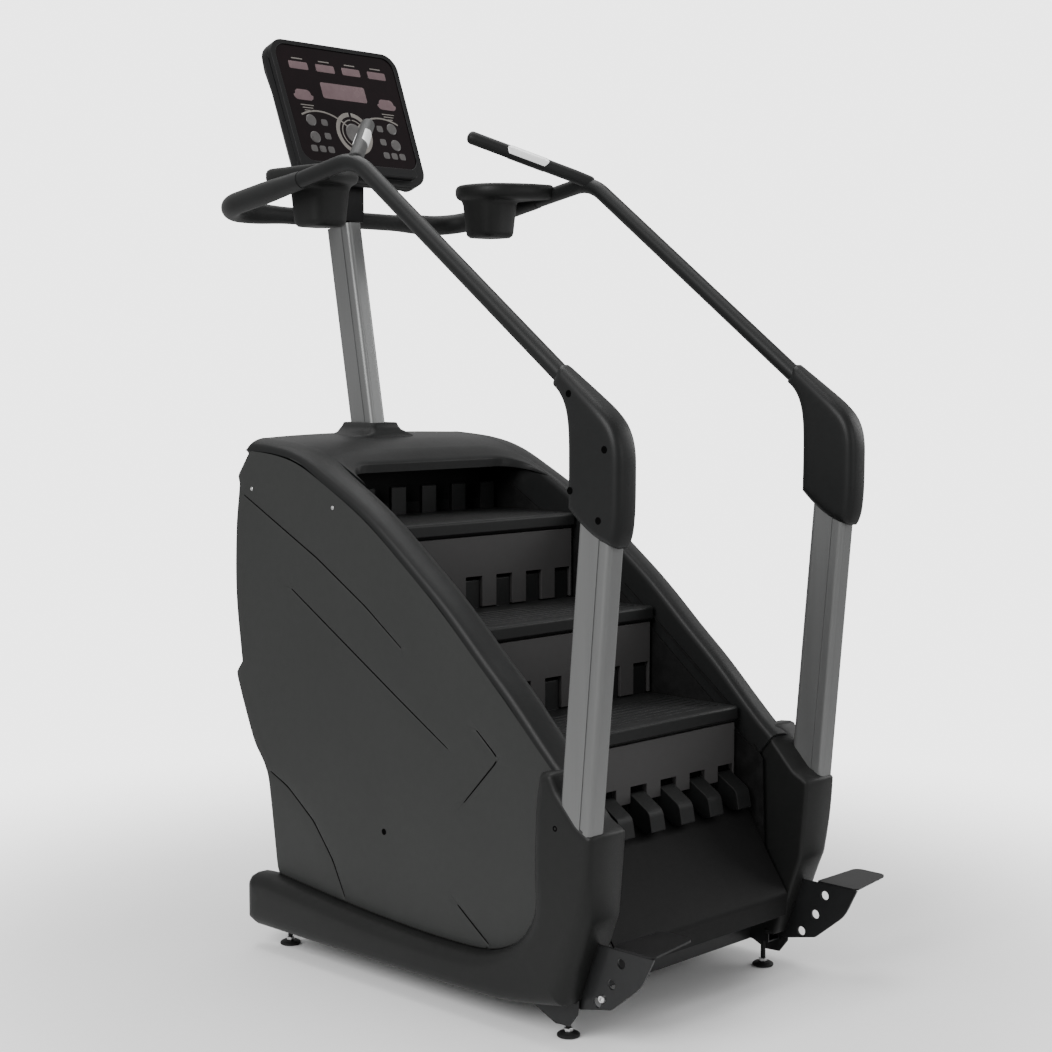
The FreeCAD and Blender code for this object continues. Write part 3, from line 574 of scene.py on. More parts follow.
def dome_end(section, away, k):
    """One ring of a rounded end beyond a section."""
    centre = sum(section, Vector()) / len(section)
    radius = (section[0] - centre).length
    angle = math.radians(28 * k)
    shift = away.normalized() * (radius * 0.7 * math.sin(angle))
    return [centre + shift + (p - centre) * math.cos(angle) for p in section]


def node_outline(node, side):
    """Outer face of a flat node as a (y, z) loop."""
    low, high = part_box(node)
    face_x = high.x if side > 0 else low.x
    work = bmesh.new()
    work.from_mesh(NODES[node].data)
    bmesh.ops.remove_doubles(work, verts=work.verts, dist=1e-5)
    work.verts.ensure_lookup_table()
    work.verts.index_update()
    flat = [f for f in work.faces if all(abs(v.co.x - face_x) < 1e-5 for v in f.verts)]
    flat_set = set(flat)
    links = {}
    for f in flat:
        for loop in f.loops:
            if sum(other in flat_set for other in loop.edge.link_faces) == 1:
                links.setdefault(loop.vert.index, []).append(loop.link_loop_next.vert.index)
    start = max(links, key=lambda i: work.verts[i].co.z)
    order = [start]
    while True:
        following = links[order[-1]][0]
        if following == start:
            break
        order.append(following)
    loop_points = [(work.verts[i].co.y, work.verts[i].co.z) for i in order]
    work.free()
    return loop_points


def side_place(side, x_inner):
    """Puts (y, z, height) points on one side of the machine, height growing outwards."""
    return lambda a, b, h: np.stack([side * (x_inner + h), a, b], 1)


# ------------------------------------------------------------------ side panels
CREASES = [
    [(0.550, 1.050), (0.288, 0.921), (0.124, 0.826), (0.009, 0.747)],
    [(0.378, 0.844), (0.015, 0.634), (-0.136, 0.548)],
    [(-0.223, 0.599), (-0.288, 0.548), (-0.184, 0.441)],
    [(0.462, 0.411), (0.400, 0.385), (0.308, 0.320), (0.242, 0.242), (0.201, 0.165)],
    [(-0.165, 0.220), (-0.258, 0.155)],
]
PANEL_SCREWS = [(0.519, 1.066), (0.230, 1.037)]
PANEL_HOLE = (0.065, 0.337)


def panel_relief(points, height):
    """Character lines pressed into a side panel."""
    for line in CREASES:
        line = np.array(line)
        away = distance_to(points, line, False)
        height = height - 0.0022 * np.exp(-(away / 0.0016) ** 2)
        height = height - 0.0012 * np.exp(-(away / 0.012) ** 2)
    return height


def side_panels():
    """Charcoal side panels with their character lines, screws and hole plug, and painted shade in the lines
    and the hole.
    """
    for name, side in SIDES:
        node = "side_panel_" + name
        low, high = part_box(node)
        loop = smooth_loop(node_outline(node, side), 0.012)
        x_inner = min(abs(low.x), abs(high.x))
        panel = pillow("side_panel_skin_" + name, loop, 0.004, 0.0035, 0.0004, side_place(side, x_inner),
                       panel_relief, CREASES, spacing=0.02)
        settle(panel, "panel_plastic", STATIC, (node,), 60)
        face_x = side * (x_inner + 0.004)
        for i, (y, z) in enumerate(PANEL_SCREWS):
            disc("panel_screw_%s_%d" % (name, i), (face_x, y, z), 0.0045, side * 0.0012, "bright_steel")
        # painted shade: the hole is a near-black disc in the shadow finish
        disc("panel_plug_" + name, (face_x, *PANEL_HOLE), 0.007, side * 0.0008, "shadow")
        # painted shade: a dark strip along each character line
        for i, line in enumerate(CREASES):
            crease_shade_strip("crease_%s_%d" % (name, i), line, side, face_x)


def crease_shade_strip(name, line, side, face_x):
    """Painted shade: dark fine strip lying in a character line, thinning out at its ends."""
    run = relaxed(resample(line, 0.01), 3)
    sections = []
    for k, (point, across) in enumerate(zip(run, normals_of(run))):
        share = k / (len(run) - 1)
        half = 0.0014 * (0.15 + 0.85 * math.sin(math.pi * min(1.0, 0.08 + share * 0.92)) ** 0.5)
        ring = []
        for way, out in ((-1, -0.0034), (-1, -0.0016), (1, -0.0016), (1, -0.0034)):
            y, z = point + way * half * across
            ring.append(Vector((face_x + side * out, y, z)))
        sections.append(ring)
    settle(loft(name, sections), "shadow")


def disc(name, centre, radius, rise, finish, recess=0.35):
    """Small button head with a dished middle, facing along X."""
    rings = [(1.0, -0.4), (1.0, 0.5), (0.86, 1.0), (0.5, 1.0), (0.42, recess)]
    sections = []
    for share, up in rings:
        sections.append([Vector((centre[0] + rise * up, centre[1] + radius * share * math.cos(t),
                                 centre[2] + radius * share * math.sin(t)))
                         for t in np.linspace(0, 2 * math.pi, 20, endpoint=False)])
    return settle(loft(name, sections), finish)


# ------------------------------------------------------------------ fairings, hood, front
BAND = 0.075                 # depth of the fairing's inner face
CROWN = 0.0245               # rise of the fairing over the side panel
FRONT_BOW = 0.060            # how far the front stands out at the middle
FRONT_HALF = 0.356           # half of the front's width
SKIN = 0.004                 # thickness of the fairing's wall
FAIRING_PROFILE = [          # share of the way in, rise
    (0.0, -0.004), (0.0, 0.0), (0.015, 0.0055), (0.05, 0.011), (0.12, 0.0155), (0.28, 0.0195),
    (0.48, 0.0225), (0.68, CROWN), (0.86, 0.0238), (0.94, 0.0205), (0.98, 0.0145), (1.0, 0.005)]
NOSE = [(0.010, 0.70), (0.016, 0.25), (0.018, 0.0)]     # how the fairing's front end rounds down


def top_edge():
    """Top edge of the side panels, rear to front, as smooth (y, z) points."""
    loop = np.array(node_outline("side_panel_right", 1.0))
    rear = int(np.argmin(loop[:, 0] - 0.5 * loop[:, 1]))
    front = int(np.argmax(loop[:, 1]))
    order = np.roll(loop, -rear, axis=0)
    count = (front - rear) % len(loop)
    forward = order[:count + 1]
    backward = np.concatenate([order[:1], order[count:][::-1]])
    upper = forward if len(forward) < len(backward) or forward[:, 1].min() > 0.5 else backward
    return resample(relaxed(resample(upper, 0.02), 6), 0.012)


def ease(value, low, high):
    """Smooth step between two values."""
    t = min(1.0, max(0.0, (value - low) / (high - low)))
    return t * t * (3 - 2 * t)


def bow(x):
    """How far the front stands out at a distance from the middle."""
    return FRONT_BOW * (1 - min(1.0, (x / FRONT_HALF) ** 2))


def fairings():
    """Crowned fairing along each side of the stair well, with its deep inner face."""
    run = top_edge()
    tail = run[0] + np.outer(np.linspace(1.0, 0.15, 6), (-0.037, -0.031))
    run = np.concatenate([tail, run])
    normal = normals_of(run)
    low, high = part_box("fairing_right")
    outer, inner = high.x, low.x + 0.0008
    sill = run[-1][1] - 0.004
    for name, side in SIDES:
        sections = []
        for k, (y, z) in enumerate(run):
            level = ease(y, 0.19, 0.30)
            forward = ease(y, 0.40, HOOD_FRONT)
            scale = 1 - 0.1 * ease(-y, 0.34, 0.445)
            ring = []
            back, up = normal[k]
            for share, crown in FAIRING_PROFILE:
                x = outer - share * (outer - inner)
                flat_crown = crown if share < 0.6 else CROWN
                rise = (crown * (1 - level) + flat_crown * level) * scale
                ring.append(Vector((side * x, y + back * rise + forward * bow(x), z + up * rise)))
            ring.append(Vector((side * inner, y - back * BAND, z - up * BAND)))
            ring.append(Vector((side * (inner + SKIN), y - back * BAND, z - up * BAND)))
            ring.append(Vector((side * (outer - SKIN), y - back * SKIN + forward * bow(outer),
                                z - up * SKIN)))
            sections.append(ring)
        last = sections[-1]
        for ahead, share in NOSE:
            sections.append([Vector((p.x, p.y + ahead, min(p.z, sill) + max(0.0, p.z - sill) * share))
                             for p in last])
        settle(loft("fairing_skin_" + name, sections), "shell_plastic", STATIC, ("fairing_" + name,), 50)


def crest_line():
    """Line where the fairing's crown meets the hood, as (y, z) points."""
    run = top_edge()
    line = run + CROWN * normals_of(run)
    return line[np.argsort(line[:, 0])]


HOOD_HALF = 0.2905           # half of the hood's width between the fairings
HOOD_FRONT = 0.524           # where its top turns down at the front
MOUTH_Y = 0.292              # rear edge over the middle of the stair well
MOUTH_CORNER = 0.095
LIP_WIDE, LIP_DEEP = 0.046, 0.008
LIP_STEPS = [0.0, 0.0015, 0.004, 0.010, 0.020, 0.030, 0.038, 0.043, 0.046, 0.049, 0.054, 0.062]
HOOD_NOSE = [(0.008, 0.002), (0.014, 0.008), (0.0165, 0.017), (0.017, 0.026), (0.010, 0.026), (-0.002, 0.008)]


def hood():
    """Crowned hood with a bevelled lip round the mouth of the stair well."""
    line = crest_line()
    straight = HOOD_HALF - MOUTH_CORNER
    across = [*np.linspace(-HOOD_HALF, -straight, 14), *np.linspace(-straight, straight, 18)[1:-1],
              *np.linspace(straight, HOOD_HALF, 14)]
    lip_start = 1 - ease(0.0, -0.4 * LIP_WIDE, LIP_WIDE)
    sections = []
    for x in across:
        into = max(0.0, abs(x) - straight) / MOUTH_CORNER
        round_in = math.sqrt(max(0.0, 1 - into * into))
        start = MOUTH_Y - MOUTH_CORNER * (1 - round_in)
        crown = 0.004 * (1 - (x / HOOD_HALF) ** 2)
        deep = LIP_DEEP * math.sqrt(max(0.0, 1 - into))
        wall = 0.003 + 0.019 * round_in
        ring = [Vector((x, start + 0.001, float(np.interp(start, line[:, 0], line[:, 1])) - deep - wall))]
        for away in [*LIP_STEPS, *np.linspace(0.075, HOOD_FRONT - start, 12)]:
            y = start + away
            lip = deep * (1 - ease(away, -0.4 * LIP_WIDE, LIP_WIDE)) / lip_start
            edge = 0.0035 * max(0.0, 1 - away / 0.004) ** 2
            top = float(np.interp(y, line[:, 0], line[:, 1])) + crown * ease(y, 0.29, 0.40)
            ring.append(Vector((x, y + ease(y, 0.40, HOOD_FRONT) * bow(x), top - lip - edge)))
        front_y, front_z = ring[-1].y, ring[-1].z
        for ahead, down in HOOD_NOSE:
            ring.append(Vector((x, front_y + ahead, front_z - down)))
        ring.append(Vector((x, start + LIP_WIDE + 0.01, ring[1].z + 0.006)))
        ring.append(Vector((x, start + 0.005, ring[0].z)))
        sections.append(ring)
    settle(loft("hood_skin", sections), "shell_plastic", STATIC, ("hood",), 28)


COVER_SCREW = (-0.489, 0.446)
COLUMN_FRONT = -0.47         # the column lies behind this, the long foot ahead of it
FOOT_TOP = 0.245
FOOT_INNER_X, COLUMN_INNER_X = 0.346, 0.299


def base_covers():
    """Long foot and rear column of each side: a rounded outer face, a rim wall and an inner face."""
    for name, side in SIDES:
        node = "base_cover_" + name
        low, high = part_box(node)
        outer_x = max(abs(low.x), abs(high.x))
        outline = smooth_loop(drop_near(node_outline(node, side), 0.004), 0.011, 30)
        verts, faces, loop = sheet_mesh(outline, 0.030, spacing=0.02)
        edge = distance_to(verts, loop, True)
        tall = np.clip((verts[:, 1] - 0.22) / 0.16, 0, 1)
        rounding = 0.030 - 0.018 * tall * tall * (3 - 2 * tall)
        in_foot = (verts[:, 1] < FOOT_TOP) & (verts[:, 0] > COLUMN_FRONT)
        depth = outer_x - np.where(in_foot, FOOT_INNER_X, COLUMN_INNER_X)
        to_world = side_place(side, outer_x)
        faces_at = (-roll_off(edge, rounding), roll_off(edge, 0.006) - depth)
        world = np.concatenate([to_world(verts[:, 0], verts[:, 1], height) for height in faces_at])
        shell = piece_from("base_cover_skin_" + name, world, closed_faces(faces, len(verts)))
        settle(shell, "cover_plastic", STATIC, (node,), 60)
        screw_x = side * (outer_x - 0.0004)
        # painted shade: the screw recess is a near-black disc in the shadow finish
        disc("column_screw_" + name, (screw_x, *COVER_SCREW), 0.006, side * 0.0008, "shadow")


def drop_near(points, gap):
    """Leaves out points closer than a gap to the one before."""
    kept = [points[0]]
    for p in points[1:]:
        if math.dist(p, kept[-1]) > gap:
            kept.append(p)
    return kept


BOOT_Y = 0.515
BOOT_ROWS = [                # half width, half length, height, corner radius
    (0.097, 0.071, -0.009, 0.040), (0.093, 0.070, -0.0045, 0.038), (0.083, 0.068, -0.001, 0.032),
    (0.068, 0.066, 0.0035, 0.026), (0.055, 0.064, 0.0095, 0.020), (0.046, 0.0615, 0.017, 0.015),
    (0.041, 0.059, 0.0255, 0.012), (0.039, 0.058, 0.0265, 0.011), (0.030, 0.054, 0.0255, 0.009),
    (0.028, 0.052, 0.018, 0.008)]


def mast_boot():
    """Flared boot where the mast leaves the hood."""
    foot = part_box("mast_boot")[0].z
    sections = []
    for half_x, half_y, up, corner in BOOT_ROWS:
        back = 0.006 if up < 0.008 else 0.0
        plan = tapered_plate(-half_y, half_y, half_x, half_x, corner, 6)
        sections.append([Vector((x, BOOT_Y + y - back, foot + up)) for x, y in plan])
    settle(loft("mast_boot_skin", sections), "shell_plastic", STATIC, ("mast_boot",), 70)


# ------------------------------------------------------------------ sleeves, rails, arms, grips
RAIL_X = 0.374
RAIL_R = 0.0185
RAIL_FOOT = (-0.500, 1.3165)
CREST = (0.131, 1.792)
RAIL_FRONT = (0.314, 1.757)
ARM_TIP = (0.620, 1.708)
SLEEVE_SCREWS = [(-0.524, 1.297), (-0.620, 1.193), (-0.532, 1.112), (-0.605, 1.058)]
SLEEVE_LOOP = [(-0.4675, 1.3145), (-0.484, 1.3025), (-0.4985, 1.285), (-0.509, 1.262), (-0.515, 1.235),
               (-0.518, 1.200), (-0.519, 1.150), (-0.518, 1.076), (-0.545, 1.052), (-0.578, 1.029),
               (-0.612, 1.013), (-0.640, 1.0055), (-0.650, 1.035), (-0.655, 1.080), (-0.656, 1.140),
               (-0.655, 1.185), (-0.648, 1.217), (-0.633, 1.244), (-0.607, 1.269), (-0.570, 1.296),
               (-0.530, 1.324), (-0.490, 1.352)]


def sleeves():
    """Moulded sleeve at the head of each post, narrowing to a collar round the rail."""
    for name, side in SIDES:
        node = "sleeve_" + name
        low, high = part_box(node)
        thick = high.x - low.x
        near = min(abs(low.x), abs(high.x))
        loop = smooth_loop(SLEEVE_LOOP, 0.007, 40)

        def place_it(a, b, h):
            """Draws the sleeve in towards the rail, the further up the rail the more."""
            up_rail = (a + 0.59) * 0.798 + (b - 1.25) * 0.602
            taper = 1 - 0.33 * np.clip(up_rail / 0.155, 0, 1) ** 1.3
            middle = RAIL_X + 0.003
            return np.stack([side * (middle + (near + h - middle) * taper), a, b], 1)

        sleeve = pillow("sleeve_skin_" + name, loop, thick, 0.018, 0.018, place_it, spacing=0.012)
        settle(sleeve, "sleeve_plastic", STATIC, (node,), 60)
        for i, (y, z) in enumerate(SLEEVE_SCREWS):
            x = place_it(np.array([y]), np.array([z]), np.array([thick]))[0][0]
            # painted shade: each screw recess is a near-black disc in the shadow finish
            disc("sleeve_screw_%s_%d" % (name, i), (x + side * 0.0002, y, z), 0.0072, side * 0.0006, "shadow")


ARM_R, GRIP_R = 0.0205, 0.016
GRIP_ROOT, GRIP_TIP = (0.350, 0.150, 1.802), (0.157, 0.335, 1.900)


def arm_size(share):
    """Half width and half height of an arm, thickest along its side."""
    swell = ease(share, 0.0, 0.25) * (1 - ease(share, 0.62, 0.8))
    slim = 0.0009 * (1 - ease(share, 0.0, 0.03))
    return ARM_R - slim + 0.0035 * swell, ARM_R - slim + 0.0045 * swell


def handrails():
    """Coated rails, the moulded arms they run into, and the angled grips."""
    for name, side in SIDES:
        x = side * RAIL_X
        path = curve_points([(x, *RAIL_FOOT), (x, *CREST), (x, *RAIL_FRONT)], [0.110])
        rail = tube_along("handrail_skin_" + name, path, lambda t: (RAIL_R, RAIL_R))
        settle(rail, "rail_paint", STATIC, ("handrail_" + name,))
        arm = curve_points([(x, RAIL_FRONT[0] - 0.006, RAIL_FRONT[1] + 0.001), (x, *ARM_TIP),
                            (side * 0.0423, *ARM_TIP)], [0.085])

        settle(tube_along("arm_skin_" + name, arm, arm_size), "grip_rubber", STATIC, ("arm_" + name,))
        root, tip = (Vector((side * x, y, z)) for x, y, z in (GRIP_ROOT, GRIP_TIP))
        along = (tip - root).normalized()
        start = Vector((side * 0.372, 0.131, 1.790))
        bent = curve_points([start, root + along * 0.012, tip - along * 0.012], [0.06], 0.005)
        grip = tube_along("grip_skin_" + name, bent, lambda t: (GRIP_R, GRIP_R), dome=True)
        settle(grip, "grip_rubber", STATIC, ("grip_" + name,))
        pulse_strips(name, root, along)


CUP = (0.270, 0.372)
TRAY_PLAN = [(0.368, 0.240), (0.372, 0.345), (0.368, 0.440), (0.340, 0.466), (0.285, 0.468), (0.232, 0.452),
             (0.204, 0.418), (0.194, 0.372), (0.203, 0.322), (0.235, 0.283), (0.300, 0.250)]


def cup_trays():
    """Pear-shaped tray inside each arm, with a rounded cup hung below it."""
    plan = smooth_loop(TRAY_PLAN, 0.006, 75)
    angle_at = np.arctan2(plan[:, 1] - CUP[1], plan[:, 0] - CUP[0])
    reach_at = np.hypot(plan[:, 0] - CUP[0], plan[:, 1] - CUP[1])
    order = np.argsort(angle_at)
    angles = np.linspace(-math.pi, math.pi, 72, endpoint=False)
    reach = np.interp(angles, angle_at[order], reach_at[order], period=2 * math.pi)
    squareness = 3.4
    square = sum(np.abs(turn(angles)) ** squareness for turn in (np.cos, np.sin)) ** (-1 / squareness)

    def cup(size):
        return size * square

    def rim(inset):
        return reach - inset

    rows = [
        # outside of the cup, from its bottom up
        (cup(0.030), 1.6625), (cup(0.043), 1.6635), (cup(0.049), 1.669), (cup(0.051), 1.678),
        (cup(0.057), 1.742), (cup(0.060), 1.751), (0.55 * cup(0.064) + 0.45 * rim(0.018), 1.7535),
        # outer edge of the tray and over its rim
        (rim(0.012), 1.7555), (rim(0.004), 1.7605), (rim(0.0), 1.769), (rim(0.0), 1.782),
        (rim(0.0035), 1.7885), (rim(0.0085), 1.7915), (rim(0.0135), 1.7895), (rim(0.0165), 1.783),
        (rim(0.0185), 1.769), (rim(0.024), 1.7625),
        # the tray's floor and down into the cup
        (np.minimum(rim(0.030), cup(0.062)), 1.761), (cup(0.0525), 1.7605), (cup(0.0505), 1.7575),
        (cup(0.049), 1.748), (cup(0.0445), 1.682), (cup(0.040), 1.672), (cup(0.028), 1.669)]
    for name, side in SIDES:
        sections = []
        for radius, z in rows:
            sections.append([Vector((side * (CUP[0] + r * math.cos(t)), CUP[1] + r * math.sin(t), z))
                             for r, t in zip(np.minimum(radius, reach), angles)])
        settle(loft("cup_tray_skin_" + name, sections), "cover_plastic", STATIC, ("cup_tray_" + name,), 70)


STRIP_OUT, STRIP_IN = 0.0172, 0.0156     # radius of a contact's outer and inner face
STRIP_LONG, STRIP_ROUND, STRIP_WRAP = 0.104, 0.045, 46.0


def pulse_strips(name, root, along):
    """Two curved metal strips let into a grip, one on each side."""
    middle = root + along * 0.130
    side_way = along.cross(Vector((0, 0, 1))).normalized()
    up_way = side_way.cross(along)
    for turn in ((150.0, 330.0) if name == "right" else (30.0, 210.0)):
        sections = []
        for k in range(17):
            at = (k / 16 - 0.5) * STRIP_LONG
            round_end = math.sqrt(max(0.0, 1 - max(0.0, (abs(at) - STRIP_ROUND) / 0.0072) ** 2))
            half = STRIP_WRAP * max(0.12, round_end)
            ring = []
            for radius, way in ((STRIP_OUT, 1), (STRIP_IN, -1)):
                for step in range(11):
                    angle = math.radians(turn + half * (step / 5 - 1) * way)
                    out = math.cos(angle) * side_way + math.sin(angle) * up_way
                    ring.append(middle + along * at + radius * out)
            sections.append(ring)
        settle(loft("pulse_%s_%d" % (name, turn), sections), "pulse_metal", STATIC, ("pulse_plates",))


# ------------------------------------------------------------------ console
FACE_Y, FACE_Z, FACE_TILT = 0.522, 1.790, math.radians(21)


def face(a, b, out):
    """Points on the console: a across, b up along the face, out towards the user."""
    y = FACE_Y + b * math.sin(FACE_TILT) - out * math.cos(FACE_TILT)
    z = FACE_Z + b * math.cos(FACE_TILT) + out * math.sin(FACE_TILT)
    return np.stack([a + 0 * y, y, z], 1)


def tapered_plate(low, high, half_low, half_high, corner, steps=7):
    """Loop of a plate with round corners, a little wider at its top."""
    points = []
    corners = [(half_high, high, 0), (-half_high, high, 1), (-half_low, low, 2), (half_low, low, 3)]
    for a, b, quarter in corners:
        ca = a - math.copysign(corner, a)
        cb = b - corner if b == high else b + corner
        for k in range(steps + 1):
            t = math.pi / 2 * (quarter + k / steps)
            points.append((ca + corner * math.cos(t), cb + corner * math.sin(t)))
    return np.array(points)


GLASS_TOP = 0.0031           # front of the overlay, out from the face's plane
SUNK = 0.0005                # how deep printed pieces sit in the overlay


def on_face(name, loop, proud, finish):
    """Thin piece lying on the console's overlay."""
    piece = pillow(name, np.array(loop, float), proud + SUNK, 0.0004, 0.00005,
                   lambda a, b, h: face(a, b, GLASS_TOP - SUNK + h), spacing=0.02)
    settle(piece, finish)


def arc_band(centre, radius, half_width, start, stop):
    """Loop of a curved band between two angles in degrees."""
    angles = np.radians(np.linspace(start, stop, 40))
    return [(centre[0] + r * math.cos(t), centre[1] + r * math.sin(t))
            for r, run in ((radius + half_width, angles), (radius - half_width, angles[::-1])) for t in run]


def console():
    """Console housing, bezel, display windows, ring, side arcs and printed labels."""
    shell = pillow("console_housing", tapered_plate(0.0, 0.360, 0.196, 0.202, 0.044), 0.0425, 0.001, 0.024,
                   lambda a, b, h: face(a, b, h - 0.050), spacing=0.02)
    settle(shell, "console_plastic", STATIC, ("console_shell",), 60)
    softened("console_bezel", "console_plastic", width=0.0028, segments=3)
    for i, x in enumerate((-0.124, -0.041, 0.041, 0.124)):
        window = tapered_plate(0.286, 0.306, 0.029, 0.029, 0.004)
        label = tapered_plate(0.3125, 0.3155, 0.017, 0.017, 0.0012)
        on_face("window_top_%d" % i, window + [x, 0], 0.0003, "window")
        on_face("label_top_%d" % i, label + [x, 0], 0.0002, "legend")
    on_face("window_middle", tapered_plate(0.216, 0.258, 0.070, 0.070, 0.006), 0.0003, "window")
    for side in (-1, 1):
        on_face("window_side_%d" % side,
                tapered_plate(0.204, 0.232, 0.030, 0.024, 0.0125) + [side * 0.132, 0], 0.0003, "window")
        wing = arc_band((side * 0.098, 0.060), 0.118, 0.0022, *((62, 135) if side > 0 else (45, 118)))
        on_face("wing_%d" % side, wing, 0.0002, "legend")
        printed_pads(side)
        for level in range(3):
            half = 0.012 + 0.004 * level
            on_face("mark_%d_%d" % (side, level),
                    tapered_plate(0, 0.0025, half, half, 0.001) + [side * 0.128, 0.176 + 0.007 * level],
                    0.0002, "legend")
    for radius, wide in ((0.050, 0.0055), (0.036, 0.0014)):
        for half, (start, stop) in enumerate(((-86, 86), (94, 266))):
            on_face("ring_%d_%d" % (radius * 1000, half), arc_band((0, 0.128), radius, wide, start, stop),
                    0.0003, "legend")


def printed_pads(side):
    """Small membrane pads on one side of the ring, left out where a moving key stands."""
    keys_here = [(side * 0.128, up) for up in (0.152, 0.108)]
    for row in range(3):
        for column in range(3):
            at = (side * (0.088 + 0.026 * column), 0.078 + 0.0355 * row)
            if min(math.dist(at, key) for key in keys_here) > 0.021:
                pad = tapered_plate(-0.0085, 0.0085, 0.0095, 0.0095, 0.005) + list(at)
                on_face("pad_%d_%d_%d" % (side, row, column), pad, 0.0005, "key_plastic")


def keys():
    """Domed round keys that press into the overlay."""
    angles = np.linspace(0, 2 * math.pi, 36, endpoint=False)
    bodies = {"key_%d" % k: "button_%d" % k for k in (1, 2, 3, 4)}
    bodies["start_key"] = "start_button"
    for node, body in bodies.items():
        low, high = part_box(node)
        centre = (low + high) / 2
        radius = (high.x - low.x) / 2
        up = (centre.z - FACE_Z) * math.cos(FACE_TILT) + (centre.y - FACE_Y) * math.sin(FACE_TILT)
        top = 0.0045 if radius < 0.02 else 0.005
        rows = [(1.0, -0.005), (1.0, top - 0.0012), (0.97, top - 0.0004), (0.9, top), (0.55, top + 0.0004),
                (0.25, top + 0.0001)]
        sections = []
        for share, out in rows:
            ring = face(centre.x + radius * share * np.cos(angles), up + radius * share * np.sin(angles), out)
            sections.append([Vector(p) for p in ring])
        settle(loft(node + "_skin", sections), "key_plastic", body, (node,))


# ------------------------------------------------------------------ steps, brackets, feet
def softened_pieces():
    """Pieces that keep their own shape with their edges rounded over."""
    for k in (1, 2, 3):
        softened("tread_%d" % k, "tread_plastic", "stair_run", 0.0016)
    softened("risers", "riser_plastic", "stair_run", 0.0012)
    softened("tread_4_turned", "tread_plastic", STATIC, 0.0035, 3)
    # painted shade: the kick panel takes the darker well finish
    softened("kick_panel", "well_plastic", STATIC, 0.0015)
    softened("front_cover", "panel_plastic", STATIC, 0.0012, 1)
    softened("step_brackets", "frame_paint", STATIC, 0.0011)
    softened("step_plates", "box_plastic", STATIC, 0.0012)
    softened("console_neck", "console_plastic", STATIC, 0.003, 3)


PAD_ROWS = [(0.0225, 0.0), (0.024, 0.0012), (0.0238, 0.0045), (0.0215, 0.0065), (0.018, 0.0085),
            (0.0085, 0.0092)]
NUT_ROWS = [(0.0085, 0.0093), (0.0095, 0.0103), (0.0095, 0.0162), (0.0085, 0.0172)]
THREAD_IN, THREAD_OUT = 0.0051, 0.0058


def feet():
    """Levelling feet: pad, nut and threaded stem."""
    for end in ("front", "rear"):
        for name, _ in SIDES:
            node = "foot_%s_%s" % (end, name)
            low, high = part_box(node)
            x, y = (low.x + high.x) / 2, (low.y + high.y) / 2
            thread = [(THREAD_OUT if k % 2 else THREAD_IN, 0.0095 + k * 0.0022) for k in range(28)]
            rows = PAD_ROWS + thread + [(THREAD_IN, high.z)]
            body = "leveller_%s_%s" % (end, name)
            settle(turned(node + "_skin", x, y, rows), "foot_rubber", body, (node,))
            settle(turned("nut_%s_%s" % (end, name), x, y, NUT_ROWS, 6), "bright_steel", body, angle=20)


def well_shade_sheet():
    """Painted shade: dark sheet that closes the stair well under the hood, where the hood's shadow falls."""
    loop = tapered_plate(1.020, 1.150, 0.285, 0.285, 0.006)
    shade_sheet = pillow("well_shade_sheet", loop, 0.003, 0.001, 0.001, lambda a, b, h: np.stack([a, 0.4285 - h, b], 1),
                   spacing=0.05)
    settle(shade_sheet, "well_plastic")


HOLDER_OUTLINE = [(-0.350, 0.090), (-0.505, 0.090), (-0.500, 0.060), (-0.478, 0.032), (-0.440, 0.030),
                  (-0.372, 0.058)]
BRACKET_BOLT = (-0.560, 0.106)


def rear_foot_holders():
    """Dark plates under the rear corners that hold the feet, and the bracket's bolt."""
    loop = smooth_loop(HOLDER_OUTLINE, 0.008, 20)
    for name, side in SIDES:
        holder = pillow("foot_holder_" + name, loop, 0.005, 0.0012, 0.0012, side_place(side, 0.345),
                        spacing=0.02)
        settle(holder, "frame_paint")
    left_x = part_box("step_brackets")[0].x
    disc("bracket_bolt", (left_x - 0.001, *BRACKET_BOLT), 0.008, -0.004, "bright_steel", recess=0.2)


# ------------------------------------------------------------------ scene, lights, camera
CAMERA_AT = (-3.089, -3.033, 1.352)
CAMERA_YAW = 45.68
CAMERA_DROP = 4.80
SENSOR_MM, LENS_MM = 36.0, 65.7034


def camera():
    """Camera at the machine's rear left, a little above chest height."""
    data = bpy.data.cameras.new("camera")
    data.sensor_width = SENSOR_MM
    data.lens = LENS_MM
    data.clip_end = 60
    cam = bpy.data.objects.new("camera", data)
    cam.location = CAMERA_AT
    cam.rotation_euler = (math.radians(90 - CAMERA_DROP), 0, math.radians(-CAMERA_YAW))
    bpy.context.scene.collection.objects.link(cam)
    bpy.context.scene.camera = cam


def soft_light(name, at, aim, size, power):
    """Large soft lamp aimed at a point."""
    data = bpy.data.lights.new(name, "AREA")
    data.size = size
    data.energy = power
    lamp = bpy.data.objects.new(name, data)
    lamp.location = at
    lamp.rotation_euler = (Vector(aim) - Vector(at)).to_track_quat("-Z", "Y").to_euler()
    bpy.context.scene.collection.objects.link(lamp)


FADE_FROM, FADE_TO = 0.9, 2.6              # the floor fades into the surround between these distances
SURROUND_LIGHT, SURROUND_SEEN = 0.62, 3.5  # the surround as a light, and as it looks
LAMPS = [                                  # name, place, aim, size, watts
    ("key", (-5.0, -0.6, 3.6), (0, 0, 0.9), 3.0, 330),
    ("fill", (0.5, -5.8, 2.4), (0, 0, 0.9), 3.0, 75),
    ("top", (0.5, 1.2, 5.5), (0, 0, 0.6), 4.0, 190),
    ("rim", (4.5, -2.0, 2.6), (0, 0, 1.0), 2.5, 90),
]


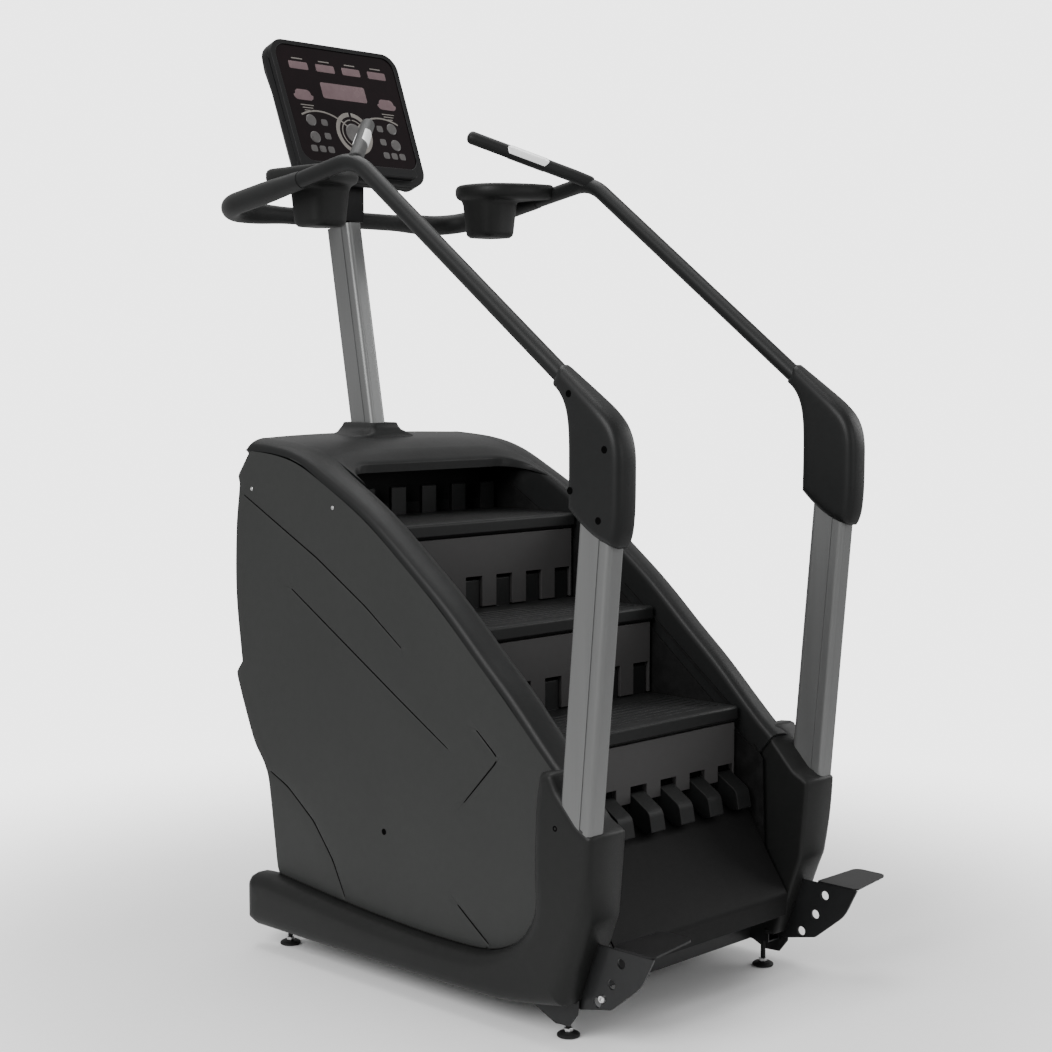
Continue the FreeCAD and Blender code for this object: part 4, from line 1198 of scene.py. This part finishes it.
def studio():
    """Pale floor that runs into a pale surround, and soft lamps."""
    corners = [(14 * x, 14 * y, -0.001) for x, y in ((-1, -1), (1, -1), (1, 1), (-1, 1))]
    floor = piece_from("floor", corners, [(0, 1, 2, 3)])
    material, tree, shader = blank("Studio floor")
    tone = place(tree, MOTTLE, Scale=1.2).outputs["Tone"]
    colour = mix_colour(tree, tone, (0.86, 0.86, 0.86), (0.89, 0.89, 0.89))
    tree.links.new(colour, shader.inputs["Base Color"])
    shader.inputs["Roughness"].default_value = 0.8
    where = add(tree, "TexCoord").outputs["Object"]
    away = add(tree, "VectorMath", {0: where}, operation="LENGTH").outputs["Value"]
    fade = add(tree, "MapRange", {"Value": away, "From Min": FADE_FROM, "From Max": FADE_TO,
                                  "To Min": 1.0, "To Max": 0.0}, interpolation_type="SMOOTHSTEP")
    tree.links.new(fade.outputs["Result"], shader.inputs["Alpha"])
    floor.data.materials.append(material)
    world = bpy.data.worlds.new("studio")
    world.use_nodes = True
    world.node_tree.nodes["Background"].inputs["Color"].default_value = (1, 1, 1, 1)
    background = world.node_tree.nodes["Background"]
    seen = world.node_tree.nodes.new("ShaderNodeLightPath").outputs["Is Camera Ray"]
    strength = world.node_tree.nodes.new("ShaderNodeMapRange")
    strength.inputs["To Min"].default_value = SURROUND_LIGHT
    strength.inputs["To Max"].default_value = SURROUND_SEEN
    world.node_tree.links.new(seen, strength.inputs["Value"])
    world.node_tree.links.new(strength.outputs["Result"], background.inputs["Strength"])
    bpy.context.scene.world = world
    for lamp in LAMPS:
        soft_light(*lamp)


def carried_over():
    """Finish of every CAD node, seen on those that keep their own shape."""
    for node, piece in NODES.items():
        slot = SLOT_OF[node]
        # painted shade: the well walls take the darker well finish in place of their own slot
        finish = "well_plastic" if node == "well_walls" else slot
        piece.data.materials.clear()
        piece.data.materials.append(FINISH[finish])


camera()
studio()
carried_over()
side_panels()
fairings()
hood()
base_covers()
mast_boot()
sleeves()
handrails()
cup_trays()
console()
keys()
softened_pieces()
feet()
rear_foot_holders()
well_shade_sheet()
